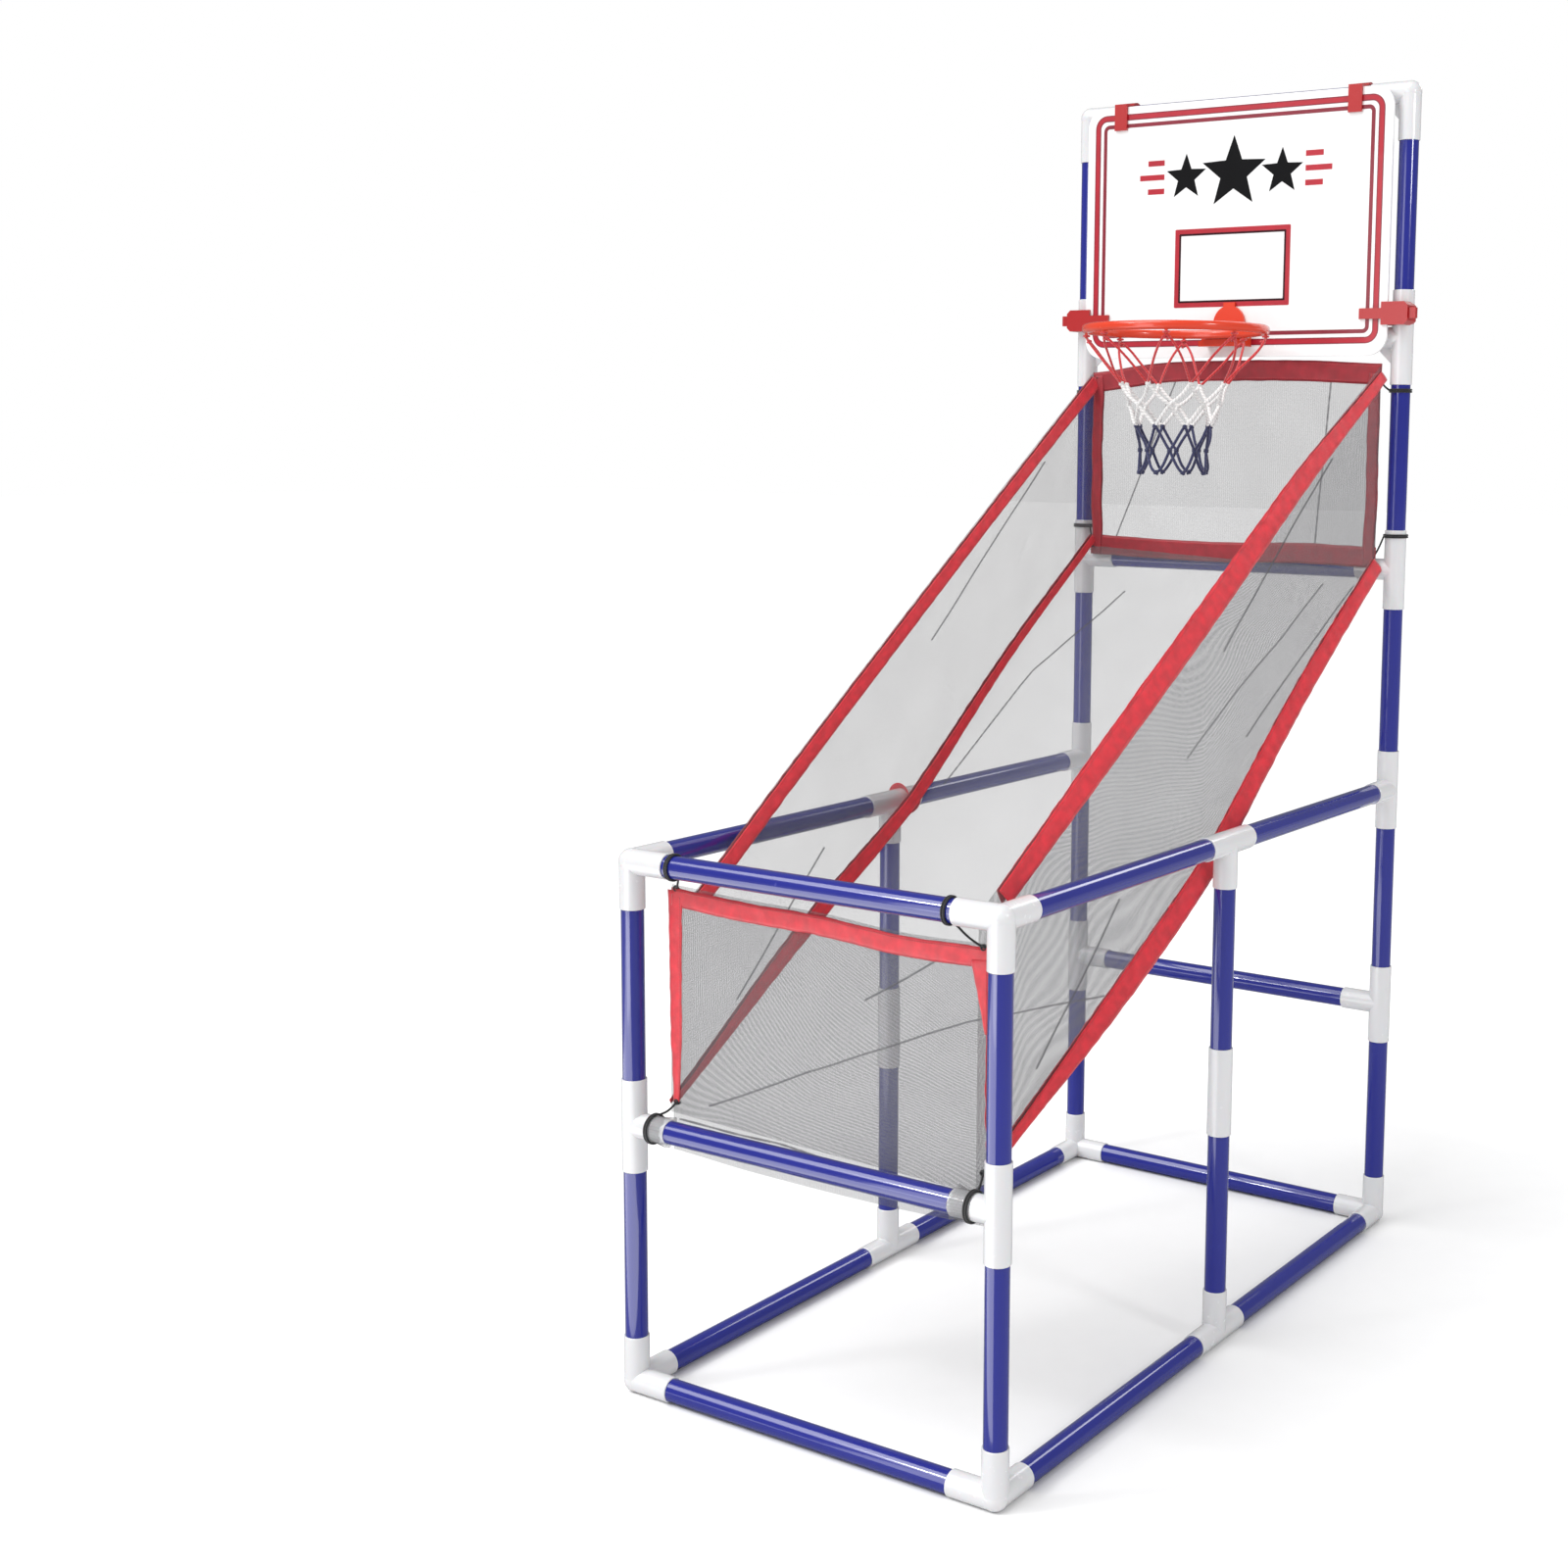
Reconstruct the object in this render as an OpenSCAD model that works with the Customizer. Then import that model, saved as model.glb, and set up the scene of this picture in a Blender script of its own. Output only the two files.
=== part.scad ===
// Toy basketball hoop machine: a push-fit tube frame with a sloping mesh ball return,
// a backboard that swings up on the top crossbar and a rim that folds up against it.
// The open tray faces -Y, the backboard stands at +Y, +X is to the right seen from the
// tray, and the origin is on the floor under the middle of the frame.

/* [Tubes] */
// Outside diameter of every frame tube
tube_d = 24; // [20:0.2:29]
// Wall thickness of the tubes
tube_wall = 1.6; // [1.2:0.1:2.4]
// Length of a short upright tube that shows between two fittings
short_show = 180; // [140:1:230]
// Length of a crosswise tube that shows between two fittings
cross_show = 353; // [280:1:440]
// Length of a front-to-back tube that shows between two fittings
side_show = 353; // [280:1:440]

/* [Fittings] */
// Wall thickness of a fitting around a tube
socket_wall = 1.3; // [1:0.1:2]
// Radial play of a tube in its socket
socket_play = 0.1; // [0.05:0.01:0.3]
// Depth of a socket
socket_depth = 22; // [15:1:26]
// Reach of a fitting from its centre to a mouth
arm = 49.5; // [42:0.5:60]
// Reach of the upright arms of a gusseted fitting
gusset_arm = 58; // [50:0.5:70]
// Thickness of a gusset web
gusset_t = 3; // [2:0.5:5]
// Distance that a gusset web stops short of the mouth
gusset_margin = 4; // [2:0.5:8]
// Extra radius of the ball at a corner fitting's centre
hub_swell = 0.35; // [0.2:0.05:1]
// Chamfer around a mouth
mouth_chamfer = 0.5; // [0.2:0.1:0.8]
// Depth of the standing flat under a base fitting
foot_flat = 0.6; // [0.3:0.1:0.8]

/* [Backboard] */
// Thickness of the backboard
board_t = 4; // [3:0.5:6]
// Corner radius of the backboard
board_corner_r = 25; // [10:1:40]
// Distance from the upright's axis in to the backboard's side edge
board_inset = 11; // [6:1:20]
// Height of the backboard's top edge over the top crossbar's axis
board_rise = 7; // [4:0.5:12]
// Drop of the backboard's bottom edge under the hidden crossbar's axis
board_drop = 22; // [15:1:30]
// Space between the backboard and the fittings behind it
board_gap = 7.6; // [5:0.1:12]

/* [Clips] */
// Thickness of a clip's lip over the backboard
clip_lip = 3.5; // [2.5:0.5:5]
// Width of a top clip
top_clip_w = 18; // [12:1:26]
// Height that a top clip covers under the crossbar's axis
top_clip_drop = 23; // [18:1:30]
// Space between a top clip and the fitting beside it
top_clip_gap = 2.5; // [1:0.5:6]
// Wall of a top clip around the crossbar
top_clip_wall = 3.4; // [2.5:0.1:5]
// Angle under level at which a top clip's slot opens to the back
top_clip_slot = 50; // [30:1:70]
// Radial running play of a top clip on the crossbar
hinge_play = 0.08; // [0.03:0.01:0.1]
// Height of a side clip's body
side_clip_h = 28; // [20:1:34]
// Space between a side clip and the crossbar fitting's branch under it
side_clip_gap = 1.2; // [0.8:0.1:4]
// Space between a side clip's saddle and the upright
saddle_play = 0.35; // [0.3:0.05:0.6]
// Wall of a side clip's saddle
saddle_wall = 3; // [2:0.5:5]
// Length of a side clip's finger tab
finger_tab = 9; // [5:1:14]
// Height of a side clip's tongue and finger tab
tongue_h = 13; // [9:1:18]
// Length of a side clip's front tongue past its body
tongue_l = 29; // [15:1:36]

/* [Rim] */
// Outside diameter of the rim
rim_d = 230; // [190:1:280]
// Radial width of the rim's band
rim_band = 9; // [6:0.5:12]
// Height of the rim's band
rim_h = 11; // [9.5:0.5:16]
// Space between the rim's band and the backboard's face
rim_gap = 32; // [29:1:45]
// Height of the rim's middle over the backboard's bottom edge
rim_rise = 27; // [22:1:40]
// Number of net hooks under the rim
hook_count = 8; // [6:1:12]
// Height of a net hook
hook_h = 5; // [4:0.5:7]
// Diameter of a net hook
hook_d = 4; // [3:0.5:6]

/* [Rim hinge] */
// Diameter of the hinge pin
pin_d = 5; // [4:0.5:6]
// Thickness and overhang of the pin's heads
pin_head_t = 1.5; // [1:0.1:2.5]
// Radial running play of the rim on its pin
pin_play = 0.05; // [0.02:0.01:0.1]
// Outside diameter of the hinge barrel
barrel_d = 14; // [12:0.5:16]
// Width of the hinge barrel
barrel_w = 50; // [36:1:70]
// Thickness of the rim's neck
neck_t = 10; // [7:0.5:11]
// Width of the rim's neck where it joins the band
neck_root_w = 76; // [60:1:100]
// Thickness of the bracket's plate on the backboard
plate_t = 4; // [3:0.5:6]
// Thickness of a bracket ear
ear_t = 5.5; // [4:0.5:8]
// Space between parts that turn past each other
hinge_gap = 0.5; // [0.35:0.05:1]
// Radius of the bracket's domed top
dome_r = 22; // [18:1:28]
// Height of the dome's centre over the rim's middle
dome_rise = 16; // [14:1:20]
// Width of the tab on top of the dome
tab_w = 16; // [10:1:24]
// Height of the tab on top of the dome
tab_h = 4; // [2:0.5:6]
// Depth of the bracket's bottom block
block_t = 7; // [5:0.5:10]
// Length of the stop pad that carries the rim's neck
stop_l = 8; // [5:0.5:12]

/* [Screws] */
// Diameter of a bracket screw
screw_d = 3; // [2.5:0.5:4]
// Distance between the two bracket screws
screw_pitch = 28; // [20:1:34]
// Diameter of a screw head
screw_head_d = 6.4; // [5:0.2:8]
// Thickness of a screw head
screw_head_t = 2; // [1.5:0.1:3]

/* [Net] */
// Thickness of the space that the knotted net fills
net_t = 2.4; // [1.5:0.1:4]
// Height of the red band under the hooks
net_red_h = 56; // [40:1:80]
// Height of the white band
net_white_h = 51; // [40:1:80]
// Height of the navy band
net_navy_h = 59; // [40:1:80]
// Radius of the net where red meets white
net_r1 = 68; // [60:1:90]
// Radius of the net where white meets navy
net_r2 = 48; // [44:1:60]
// Radius of the net at its bottom edge
net_r3 = 46; // [40:1:60]

/* [Mesh chute] */
// Thickness of the mesh
mesh_t = 1.2; // [0.8:0.1:2]
// Thickness of the ribbon hems
ribbon_t = 1; // [0.6:0.1:1.4]
// Width of the ribbon hems
ribbon_w = 22; // [14:1:30]
// Space between the chute and the fittings in front of it and behind it
chute_gap = 2.2; // [1.6:0.1:4]
// Distance from the upright's axis in to the chute's side at the back
chute_inset_back = 20; // [18:1:30]
// Distance from the leg's axis in to the chute's side at the front
chute_inset_front = 36; // [30:1:50]
// Drop of the chute's top edge under the hidden crossbar at the back
chute_back_drop = 40; // [30:1:60]
// Height of the back panel's bottom edge over the axis of the crossbar behind it
chute_hem_lift = 1; // [-4:1:20]
// Height of the floor's back edge over the same crossbar's axis
floor_back_lift = -9; // [-14:1:10]
// Drop of the chute's top edge under the front top crossbar's axis
chute_front_drop = 18; // [15:0.5:30]
// Drop of the floor under the rail's axis, halfway along the chute
floor_middle_drop = 15; // [0:1:30]
// Height of the floor's front edge over the tray crossbar's axis
floor_front_lift = 24; // [15:1:40]
// Drop of the front panel's bottom edge under the tray crossbar's axis
apron_drop = 24; // [18:1:34]
// Diameter of the elastic ties
tie_d = 2.4; // [1.6:0.1:3]
// Distance between an elastic tie and the mouth of the fitting beside it
tie_margin = 7.2; // [5:0.1:12]

/* [Hidden] */
$fn = 72;

tube_blue = [0.17, 0.21, 0.62];
fitting_white = [0.95, 0.95, 0.96];
clip_red = [0.80, 0.13, 0.11];
rim_red = [0.90, 0.20, 0.12];
ribbon_red = [0.80, 0.07, 0.12];
mesh_grey = [0.72, 0.72, 0.74];
net_navy_blue = [0.12, 0.14, 0.32];

tube_r = tube_d / 2;
core_r = tube_r - tube_wall;
socket_r = tube_r + socket_play;
fit_r = socket_r + socket_wall;
hub_r = fit_r + hub_swell;
seat_gap = 0.2;
press_gap = 0.02;
over = 1;

// Leg and upright axes, and the levels of the fittings
x_leg = cross_show / 2 + arm;
y_bay = side_show + 2 * arm;
riser = short_show + 2 * arm;
z_base = fit_r - foot_flat;
z_low = z_base + riser;
z_rail = z_low + riser;
z_mid = z_rail + riser;
z_board = z_mid + arm + short_show + gusset_arm;
z_top = z_board + short_show + 2 * gusset_arm;
sides = [-1, 1];

// Backboard
board_back_y = y_bay - fit_r - board_gap;
board_face_y = board_back_y - board_t;
board_half = x_leg - board_inset;
board_top_z = z_top + board_rise;
board_low_z = z_board - board_drop;

// Rim and hinge
rim_r = rim_d / 2;
rim_y = board_face_y - rim_gap - rim_r;
rim_z = board_low_z + rim_rise;
barrel_r = barrel_d / 2;
bracket_half = barrel_w / 2 + hinge_gap + ear_t;
plate_y = board_face_y - plate_t;
hinge_y = plate_y - hinge_gap - barrel_r;
dome_z = rim_z + dome_rise;
block_top_z = rim_z - barrel_r - hinge_gap;

// Top clips stand clear of the elbows; side clips stand on the crossbar fittings' branches
top_clip_x = x_leg - arm - top_clip_gap - top_clip_w / 2;
side_clip_z = z_board + fit_r + side_clip_gap;
saddle_r = fit_r + saddle_play;

// Chute seen from the side: a straight top edge over a floor line with a bend at the rails
chute_y = y_bay - fit_r - chute_gap;
floor_back_z = z_mid + floor_back_lift;
floor_middle_z = z_rail - floor_middle_drop;
floor_front_z = z_low + floor_front_lift;
hem_z = z_mid + chute_hem_lift;
apron_z = z_low - apron_drop;
edge_back_z = z_board - chute_back_drop;
edge_front_z = z_rail - chute_front_drop;
function chute_half(y) =
    x_leg - chute_inset_front + (chute_inset_front - chute_inset_back) * (y + chute_y) / (2 * chute_y);
function floor_z(y) =
    floor_middle_z + y / chute_y * (y < 0 ? floor_middle_z - floor_front_z : floor_back_z - floor_middle_z);

net_top_z = rim_z - rim_h / 2 - hook_h;
net_top_r = rim_r - rim_band / 2;

// ---------------------------------------------------------------- helpers

// Turn that sends +Z along a named direction
function heading(dir) =
    dir == "+x" ? [0, 90, 0] :
    dir == "-x" ? [0, -90, 0] :
    dir == "+y" ? [-90, 0, 0] :
    dir == "-y" ? [90, 0, 0] :
    dir == "-z" ? [180, 0, 0] : [0, 0, 0];

// Direction from a side's leg in towards the middle
function inward(side) = side > 0 ? "-x" : "+x";

// Frame tube that shows for `show` from the fitting mouth at `mouth` along `dir`
module frame_tube(mouth, dir, show) {
    hidden = socket_depth - seat_gap;
    color(tube_blue)
        translate(mouth) rotate(heading(dir)) translate([0, 0, -hidden])
            difference() {
                cylinder(h = show + 2 * hidden, r = tube_r);
                translate([0, 0, -over]) cylinder(h = show + 2 * hidden + 2 * over, r = core_r);
            }
}

// Outside of one arm of a fitting, from the centre to the mouth
module arm_shell(reach) {
    rotate_extrude()
        polygon([[0, 0], [fit_r, 0], [fit_r, reach - mouth_chamfer],
                 [fit_r - mouth_chamfer, reach], [0, reach]]);
}

// Socket and core of one arm
module arm_bore(reach) {
    shoulder = reach - socket_depth;
    rotate_extrude()
        polygon([[0, 0], [core_r, 0], [core_r, shoulder], [socket_r, shoulder],
                 [socket_r, reach + over], [0, reach + over]]);
}

// Moulded fitting with one socket for each [direction, reach]; children are its webs
module fitting(centre, arms, hub = false) {
    color(fitting_white)
        translate(centre)
            difference() {
                union() {
                    for (a = arms) rotate(heading(a[0])) arm_shell(a[1]);
                    if (hub) sphere(r = hub_r);
                    children();
                }
                for (a = arms) rotate(heading(a[0])) arm_bore(a[1]);
            }
}

// Cuts the standing flat under a base fitting
module standing() {
    slab_w = 4 * arm;
    difference() {
        children();
        for (x = x_leg * sides, y = [-y_bay, 0, y_bay])
            translate([x - slab_w / 2, y - slab_w / 2, -slab_w]) cube([slab_w, slab_w, slab_w]);
    }
}

// Triangular web in the corner between the inward arm and the downward arm
module gusset(side) {
    leg = arm - gusset_margin;
    rotate([90, 0, 0])
        linear_extrude(height = gusset_t, center = true)
            polygon([[0, 0], [-side * leg, 0], [0, -leg]]);
}

// Closed sheet: a flat outline and the same outline moved by `shift`
module sheet(outline, shift) {
    n = len(outline);
    turn = cross(outline[1] - outline[0], outline[2] - outline[0]) * shift;
    ring = turn > 0 ? outline : [for (i = [n - 1 : -1 : 0]) outline[i]];
    polyhedron(
        points = concat(ring, [for (p = ring) p + shift]),
        faces = concat(
            [[for (i = [0 : n - 1]) i]],
            [[for (i = [n - 1 : -1 : 0]) i + n]],
            [for (i = [0 : n - 1]) [(i + 1) % n, i, i + n, (i + 1) % n + n]]));
}

// Elastic loop around a round part of radius `r`
module tie(centre, dir, r) {
    translate(centre) rotate(heading(dir))
        rotate_extrude() translate([r + seat_gap / 2 + tie_d / 2, 0]) circle(d = tie_d);
}

// ---------------------------------------------------------------- tubes

module crossbar(y, z) {
    frame_tube([arm - x_leg, y, z], "+x", cross_show);
}

module side_tubes(side, z) {
    for (y = [-y_bay, 0]) frame_tube([side * x_leg, y + arm, z], "+y", side_show);
}

module leg_tubes(side, y) {
    for (z = [z_base, z_low]) frame_tube([side * x_leg, y, z + arm], "+z", short_show);
}

module upright_tubes(side) {
    mouths = [z_base + arm, z_low + arm, z_rail + arm, z_mid + arm, z_board + gusset_arm];
    for (z = mouths) frame_tube([side * x_leg, y_bay, z], "+z", short_show);
}

// ---------------------------------------------------------------- fittings

// Corner on the floor; `back` is the direction of its front-to-back arm
module base_corner(side, y, back) {
    standing()
        fitting([side * x_leg, y, z_base], [[inward(side), arm], [back, arm], ["+z", arm]], true);
}

module base_middle_tees() {
    standing()
        for (side = sides)
            fitting([side * x_leg, 0, z_base], [["+y", arm], ["-y", arm], ["+z", arm]]);
}

module upright_tee(side, y, z, branch) {
    fitting([side * x_leg, y, z], [["+z", arm], ["-z", arm], [branch, arm]]);
}

module front_tees() {
    for (side = sides) upright_tee(side, -y_bay, z_low, inward(side));
}

module front_top_corner(side) {
    fitting([side * x_leg, -y_bay, z_rail], [[inward(side), arm], ["+y", arm], ["-z", arm]], true);
}

module rail_tees() {
    for (side = sides)
        fitting([side * x_leg, 0, z_rail], [["+y", arm], ["-y", arm], ["-z", arm]]);
}

module middle_leg_couplers() {
    for (side = sides) fitting([side * x_leg, 0, z_low], [["+z", arm], ["-z", arm]]);
}

module rear_low_tees() {
    for (side = sides) upright_tee(side, y_bay, z_low, inward(side));
}

module rear_board_tee(side) {
    fitting([side * x_leg, y_bay, z_board],
            [["+z", gusset_arm], ["-z", gusset_arm], [inward(side), arm]])
        gusset(side);
}

module top_elbow(side) {
    fitting([side * x_leg, y_bay, z_top], [["-z", gusset_arm], [inward(side), arm]], true)
        gusset(side);
}

// ---------------------------------------------------------------- backboard

module backboard() {
    straight_w = board_half - board_corner_r;
    color("white")
        difference() {
            translate([0, board_back_y, 0]) rotate([90, 0, 0])
                linear_extrude(height = board_t) {
                    translate([-board_half, board_low_z + board_corner_r])
                        square([2 * board_half, board_top_z - board_low_z - 2 * board_corner_r]);
                    translate([-straight_w, board_low_z])
                        square([2 * straight_w, board_top_z - board_low_z]);
                    for (x = straight_w * sides,
                         z = [board_low_z + board_corner_r, board_top_z - board_corner_r])
                        translate([x, z]) circle(r = board_corner_r);
                }
            screw_holes(screw_d / 2 + seat_gap);
        }
}

// Holes for the bracket's screws, through the backboard and into the plate
module screw_holes(r) {
    for (side = sides)
        translate([side * screw_pitch / 2, board_back_y + over, dome_z]) rotate(heading("-y"))
            cylinder(h = board_t + plate_t - seat_gap + over, r = r);
}

// Hook over the top crossbar with a slot for the backboard's top edge
module top_clip(side) {
    bore_r = tube_r + hinge_play;
    ring_r = bore_r + top_clip_wall;
    low_z = z_top - top_clip_drop;
    color(clip_red)
        translate([side * top_clip_x - top_clip_w / 2, 0, 0]) rotate([90, 0, 90])
            linear_extrude(height = top_clip_w)
                difference() {
                    union() {
                        translate([y_bay, z_top]) circle(r = ring_r);
                        translate([board_face_y - clip_lip, low_z])
                            square([y_bay - tube_r - board_face_y + clip_lip,
                                    board_top_z + clip_lip - low_z]);
                    }
                    translate([y_bay, z_top]) {
                        circle(r = bore_r);
                        rotate(-top_clip_slot) translate([0, -tube_r / 2]) square([ring_r + over, tube_r]);
                    }
                    translate([board_face_y, low_z - over])
                        square([board_t, board_top_z - low_z + over]);
                }
}

// Saddle that snaps on an upright from the front and grips the backboard's side edge
module side_clip(side) {
    inner_x = board_half - 2 * clip_lip;
    outer_x = x_leg + saddle_r + saddle_wall;
    front_y = board_face_y - clip_lip;
    body_back_y = y_bay - saddle_r + saddle_wall;
    mid_z = side_clip_z + side_clip_h / 2;
    corner = saddle_wall + clip_lip / 2;
    color(clip_red)
        mirror([side > 0 ? 0 : 1, 0, 0])
            difference() {
                union() {
                    intersection() {
                        translate([0, 0, side_clip_z]) linear_extrude(height = side_clip_h) {
                            translate([inner_x, front_y])
                                square([outer_x - inner_x, body_back_y - front_y]);
                            translate([x_leg - saddle_r - saddle_wall, board_back_y])
                                square([2 * (saddle_r + saddle_wall), y_bay - board_back_y]);
                        }
                        translate([0, y_bay + over, 0]) rotate([90, 0, 0])
                            linear_extrude(height = y_bay)
                                polygon([[inner_x, side_clip_z], [outer_x - corner, side_clip_z],
                                         [outer_x, side_clip_z + corner],
                                         [outer_x, side_clip_z + side_clip_h - corner],
                                         [outer_x - corner, side_clip_z + side_clip_h],
                                         [inner_x, side_clip_z + side_clip_h]]);
                    }
                    translate([inner_x - tongue_l, front_y, mid_z - tongue_h / 2])
                        cube([tongue_l + over, clip_lip + board_t + clip_lip, tongue_h]);
                    translate([outer_x - over, front_y + clip_lip, mid_z - tongue_h / 2])
                        cube([finger_tab + over, 2 * clip_lip, tongue_h]);
                }
                translate([x_leg, y_bay, 0]) cylinder(h = z_top, r = saddle_r);
                translate([x_leg - saddle_r, y_bay, 0]) cube([2 * saddle_r, over, z_top]);
                translate([0, board_face_y, 0]) cube([board_half, board_t, z_top]);
            }
}

// ---------------------------------------------------------------- rim

// Plate, ears and stop that carry the rim on the backboard
module rim_bracket() {
    ear_front_y = hinge_y - barrel_r;
    block_low_z = block_top_z - block_t;
    stop_y = ear_front_y - stop_l - hinge_gap;
    color(rim_red)
        difference() {
            union() {
                translate([0, board_face_y, dome_z]) rotate(heading("-y"))
                    cylinder(h = plate_t, r = dome_r);
                translate([-tab_w / 2, plate_y, dome_z])
                    cube([tab_w, plate_t, dome_r + tab_h]);
                translate([-bracket_half, plate_y, block_low_z])
                    cube([2 * bracket_half, plate_t, rim_z + barrel_r - block_low_z]);
                translate([-bracket_half, stop_y, block_low_z])
                    cube([2 * bracket_half, board_face_y - stop_y, block_t]);
                translate([-barrel_w / 2, stop_y, block_low_z])
                    cube([barrel_w, stop_l, rim_z - neck_t / 2 - hinge_gap - block_low_z]);
                for (side = sides)
                    translate([side * (bracket_half - ear_t / 2), 0, 0]) {
                        translate([-ear_t / 2, hinge_y, rim_z]) rotate(heading("+x"))
                            cylinder(h = ear_t, r = barrel_r);
                        translate([-ear_t / 2, ear_front_y, block_low_z])
                            cube([ear_t, plate_y - ear_front_y, rim_z - block_low_z]);
                        translate([-ear_t / 2, hinge_y, rim_z])
                            cube([ear_t, plate_y - hinge_y, barrel_r]);
                    }
            }
            translate([-bracket_half - over, hinge_y, rim_z]) rotate(heading("+x"))
                cylinder(h = 2 * (bracket_half + over), r = pin_d / 2 + press_gap);
            screw_holes(screw_d / 2);
        }
}

module bracket_screws() {
    color("silver")
        for (side = sides)
            translate([side * screw_pitch / 2, board_back_y, dome_z]) {
                rotate(heading("+y")) cylinder(h = screw_head_t, r = screw_head_d / 2);
                rotate(heading("-y"))
                    cylinder(h = board_t + plate_t - 2 * seat_gap, r = screw_d / 2 - press_gap);
            }
}

module rim_pin() {
    length = 2 * (bracket_half + pin_head_t);
    color("silver")
        translate([-length / 2, hinge_y, rim_z]) rotate(heading("+x")) {
            cylinder(h = length, r = pin_d / 2);
            for (z = [0, length - pin_head_t])
                translate([0, 0, z]) cylinder(h = pin_head_t, r = pin_d / 2 + pin_head_t);
        }
}

// Round band with net hooks, a neck and a hinge barrel
module rim() {
    inner_r = rim_r - rim_band;
    flat_h = rim_h - rim_band;
    color(rim_red)
        difference() {
            union() {
                translate([0, rim_y, rim_z]) rotate_extrude() translate([rim_r - rim_band / 2, 0]) {
                    square([rim_band, flat_h], center = true);
                    for (end = sides) translate([0, end * flat_h / 2]) circle(d = rim_band);
                }
                for (i = [0 : hook_count - 1])
                    translate([0, rim_y, rim_z - rim_h / 2 - hook_h])
                        rotate(360 * (i + 0.5) / hook_count)
                            translate([rim_r - rim_band / 2, 0, 0])
                                cylinder(h = hook_h + rim_h / 2, r = hook_d / 2);
                difference() {
                    translate([0, 0, rim_z - neck_t / 2]) linear_extrude(height = neck_t)
                        polygon([[-neck_root_w / 2, rim_y + inner_r - rim_band],
                                 [neck_root_w / 2, rim_y + inner_r - rim_band],
                                 [barrel_w / 2, rim_y + rim_r], [barrel_w / 2, hinge_y],
                                 [-barrel_w / 2, hinge_y], [-barrel_w / 2, rim_y + rim_r]]);
                    translate([0, rim_y, rim_z - neck_t])
                        cylinder(h = 2 * neck_t, r = rim_r - rim_band / 2);
                }
                translate([-barrel_w / 2, hinge_y, rim_z]) rotate(heading("+x"))
                    cylinder(h = barrel_w, r = barrel_r);
            }
            translate([-barrel_w, hinge_y, rim_z]) rotate(heading("+x"))
                cylinder(h = 2 * barrel_w, r = pin_d / 2 + pin_play);
        }
}

// One band of the net: a thin open cone from `top_z` down by `height`
module net_band(top_z, height, top_r, low_r, tint) {
    half = net_t / 2;
    color(tint)
        translate([0, rim_y, 0]) rotate_extrude()
            polygon([[top_r - half, top_z], [top_r + half, top_z],
                     [low_r + half, top_z - height], [low_r - half, top_z - height]]);
}

module net_red() {
    net_band(net_top_z, net_red_h, net_top_r, net_r1, ribbon_red);
}

module net_white() {
    net_band(net_top_z - net_red_h, net_white_h, net_r1, net_r2, "white");
}

module net_navy() {
    net_band(net_top_z - net_red_h - net_white_h, net_navy_h, net_r2, net_r3, net_navy_blue);
}

// ---------------------------------------------------------------- mesh chute

// Floor panel, in front of and behind its bend at the rails
module mesh_floor() {
    color(mesh_grey)
        for (run = [[mesh_t - chute_y, 0], [0, chute_y]])
            sheet([for (c = [[-1, run[0]], [1, run[0]], [1, run[1]], [-1, run[1]]])
                       [c[0] * chute_half(c[1]), c[1], floor_z(c[1])]],
                  [0, 0, -mesh_t]);
}

// Upright panel across the chute at `y`, with its thickness towards the middle
module end_panel(y, half, low_z, high_z) {
    color(mesh_grey)
        sheet([[-half, y, low_z], [half, y, low_z], [half, y, high_z], [-half, y, high_z]],
              [0, y > 0 ? -mesh_t : mesh_t, 0]);
}

module mesh_back() {
    end_panel(chute_y, chute_half(chute_y - mesh_t), hem_z, edge_back_z);
}

module mesh_front() {
    end_panel(-chute_y, chute_half(-chute_y), apron_z, edge_front_z);
}

// Sheet on one side of the chute: `line` lists its outline as [y, z], `offset_x` sets it outwards
module side_sheet(side, offset_x, thick, line) {
    sheet([for (p = line) [side * (chute_half(p[0]) + offset_x), p[0], p[1]]], [side * thick, 0, 0]);
}

module mesh_sides() {
    color(mesh_grey)
        for (side = sides)
            side_sheet(side, 0, mesh_t,
                       [[-chute_y, floor_front_z - mesh_t], [0, floor_middle_z - mesh_t],
                        [chute_y, floor_back_z - mesh_t], [chute_y, edge_back_z],
                        [-chute_y, edge_front_z]]);
}

module ribbon_top_edges() {
    color(ribbon_red)
        for (side = sides)
            side_sheet(side, mesh_t, ribbon_t,
                       [[-chute_y, edge_front_z - ribbon_w], [chute_y, edge_back_z - ribbon_w],
                        [chute_y, edge_back_z], [-chute_y, edge_front_z]]);
}

module ribbon_floor_edges() {
    low = -mesh_t;
    color(ribbon_red)
        for (side = sides) {
            side_sheet(side, mesh_t, ribbon_t,
                       [[-chute_y, floor_front_z + low], [0, floor_middle_z + low],
                        [0, floor_middle_z + ribbon_w], [-chute_y, floor_front_z + ribbon_w]]);
            side_sheet(side, mesh_t, ribbon_t,
                       [[0, floor_middle_z + low], [chute_y, floor_back_z + low],
                        [chute_y, floor_back_z + ribbon_w], [0, floor_middle_z + ribbon_w]]);
        }
}

// Hem on all four sides of the back panel
module ribbon_back_hem() {
    half = chute_half(chute_y);
    height = edge_back_z - hem_z;
    color(ribbon_red)
        translate([0, chute_y + ribbon_t, hem_z]) rotate([90, 0, 0])
            linear_extrude(height = ribbon_t)
                difference() {
                    translate([-half, 0]) square([2 * half, height]);
                    translate([-half + ribbon_w, ribbon_w])
                        square([2 * (half - ribbon_w), height - 2 * ribbon_w]);
                }
}

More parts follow.
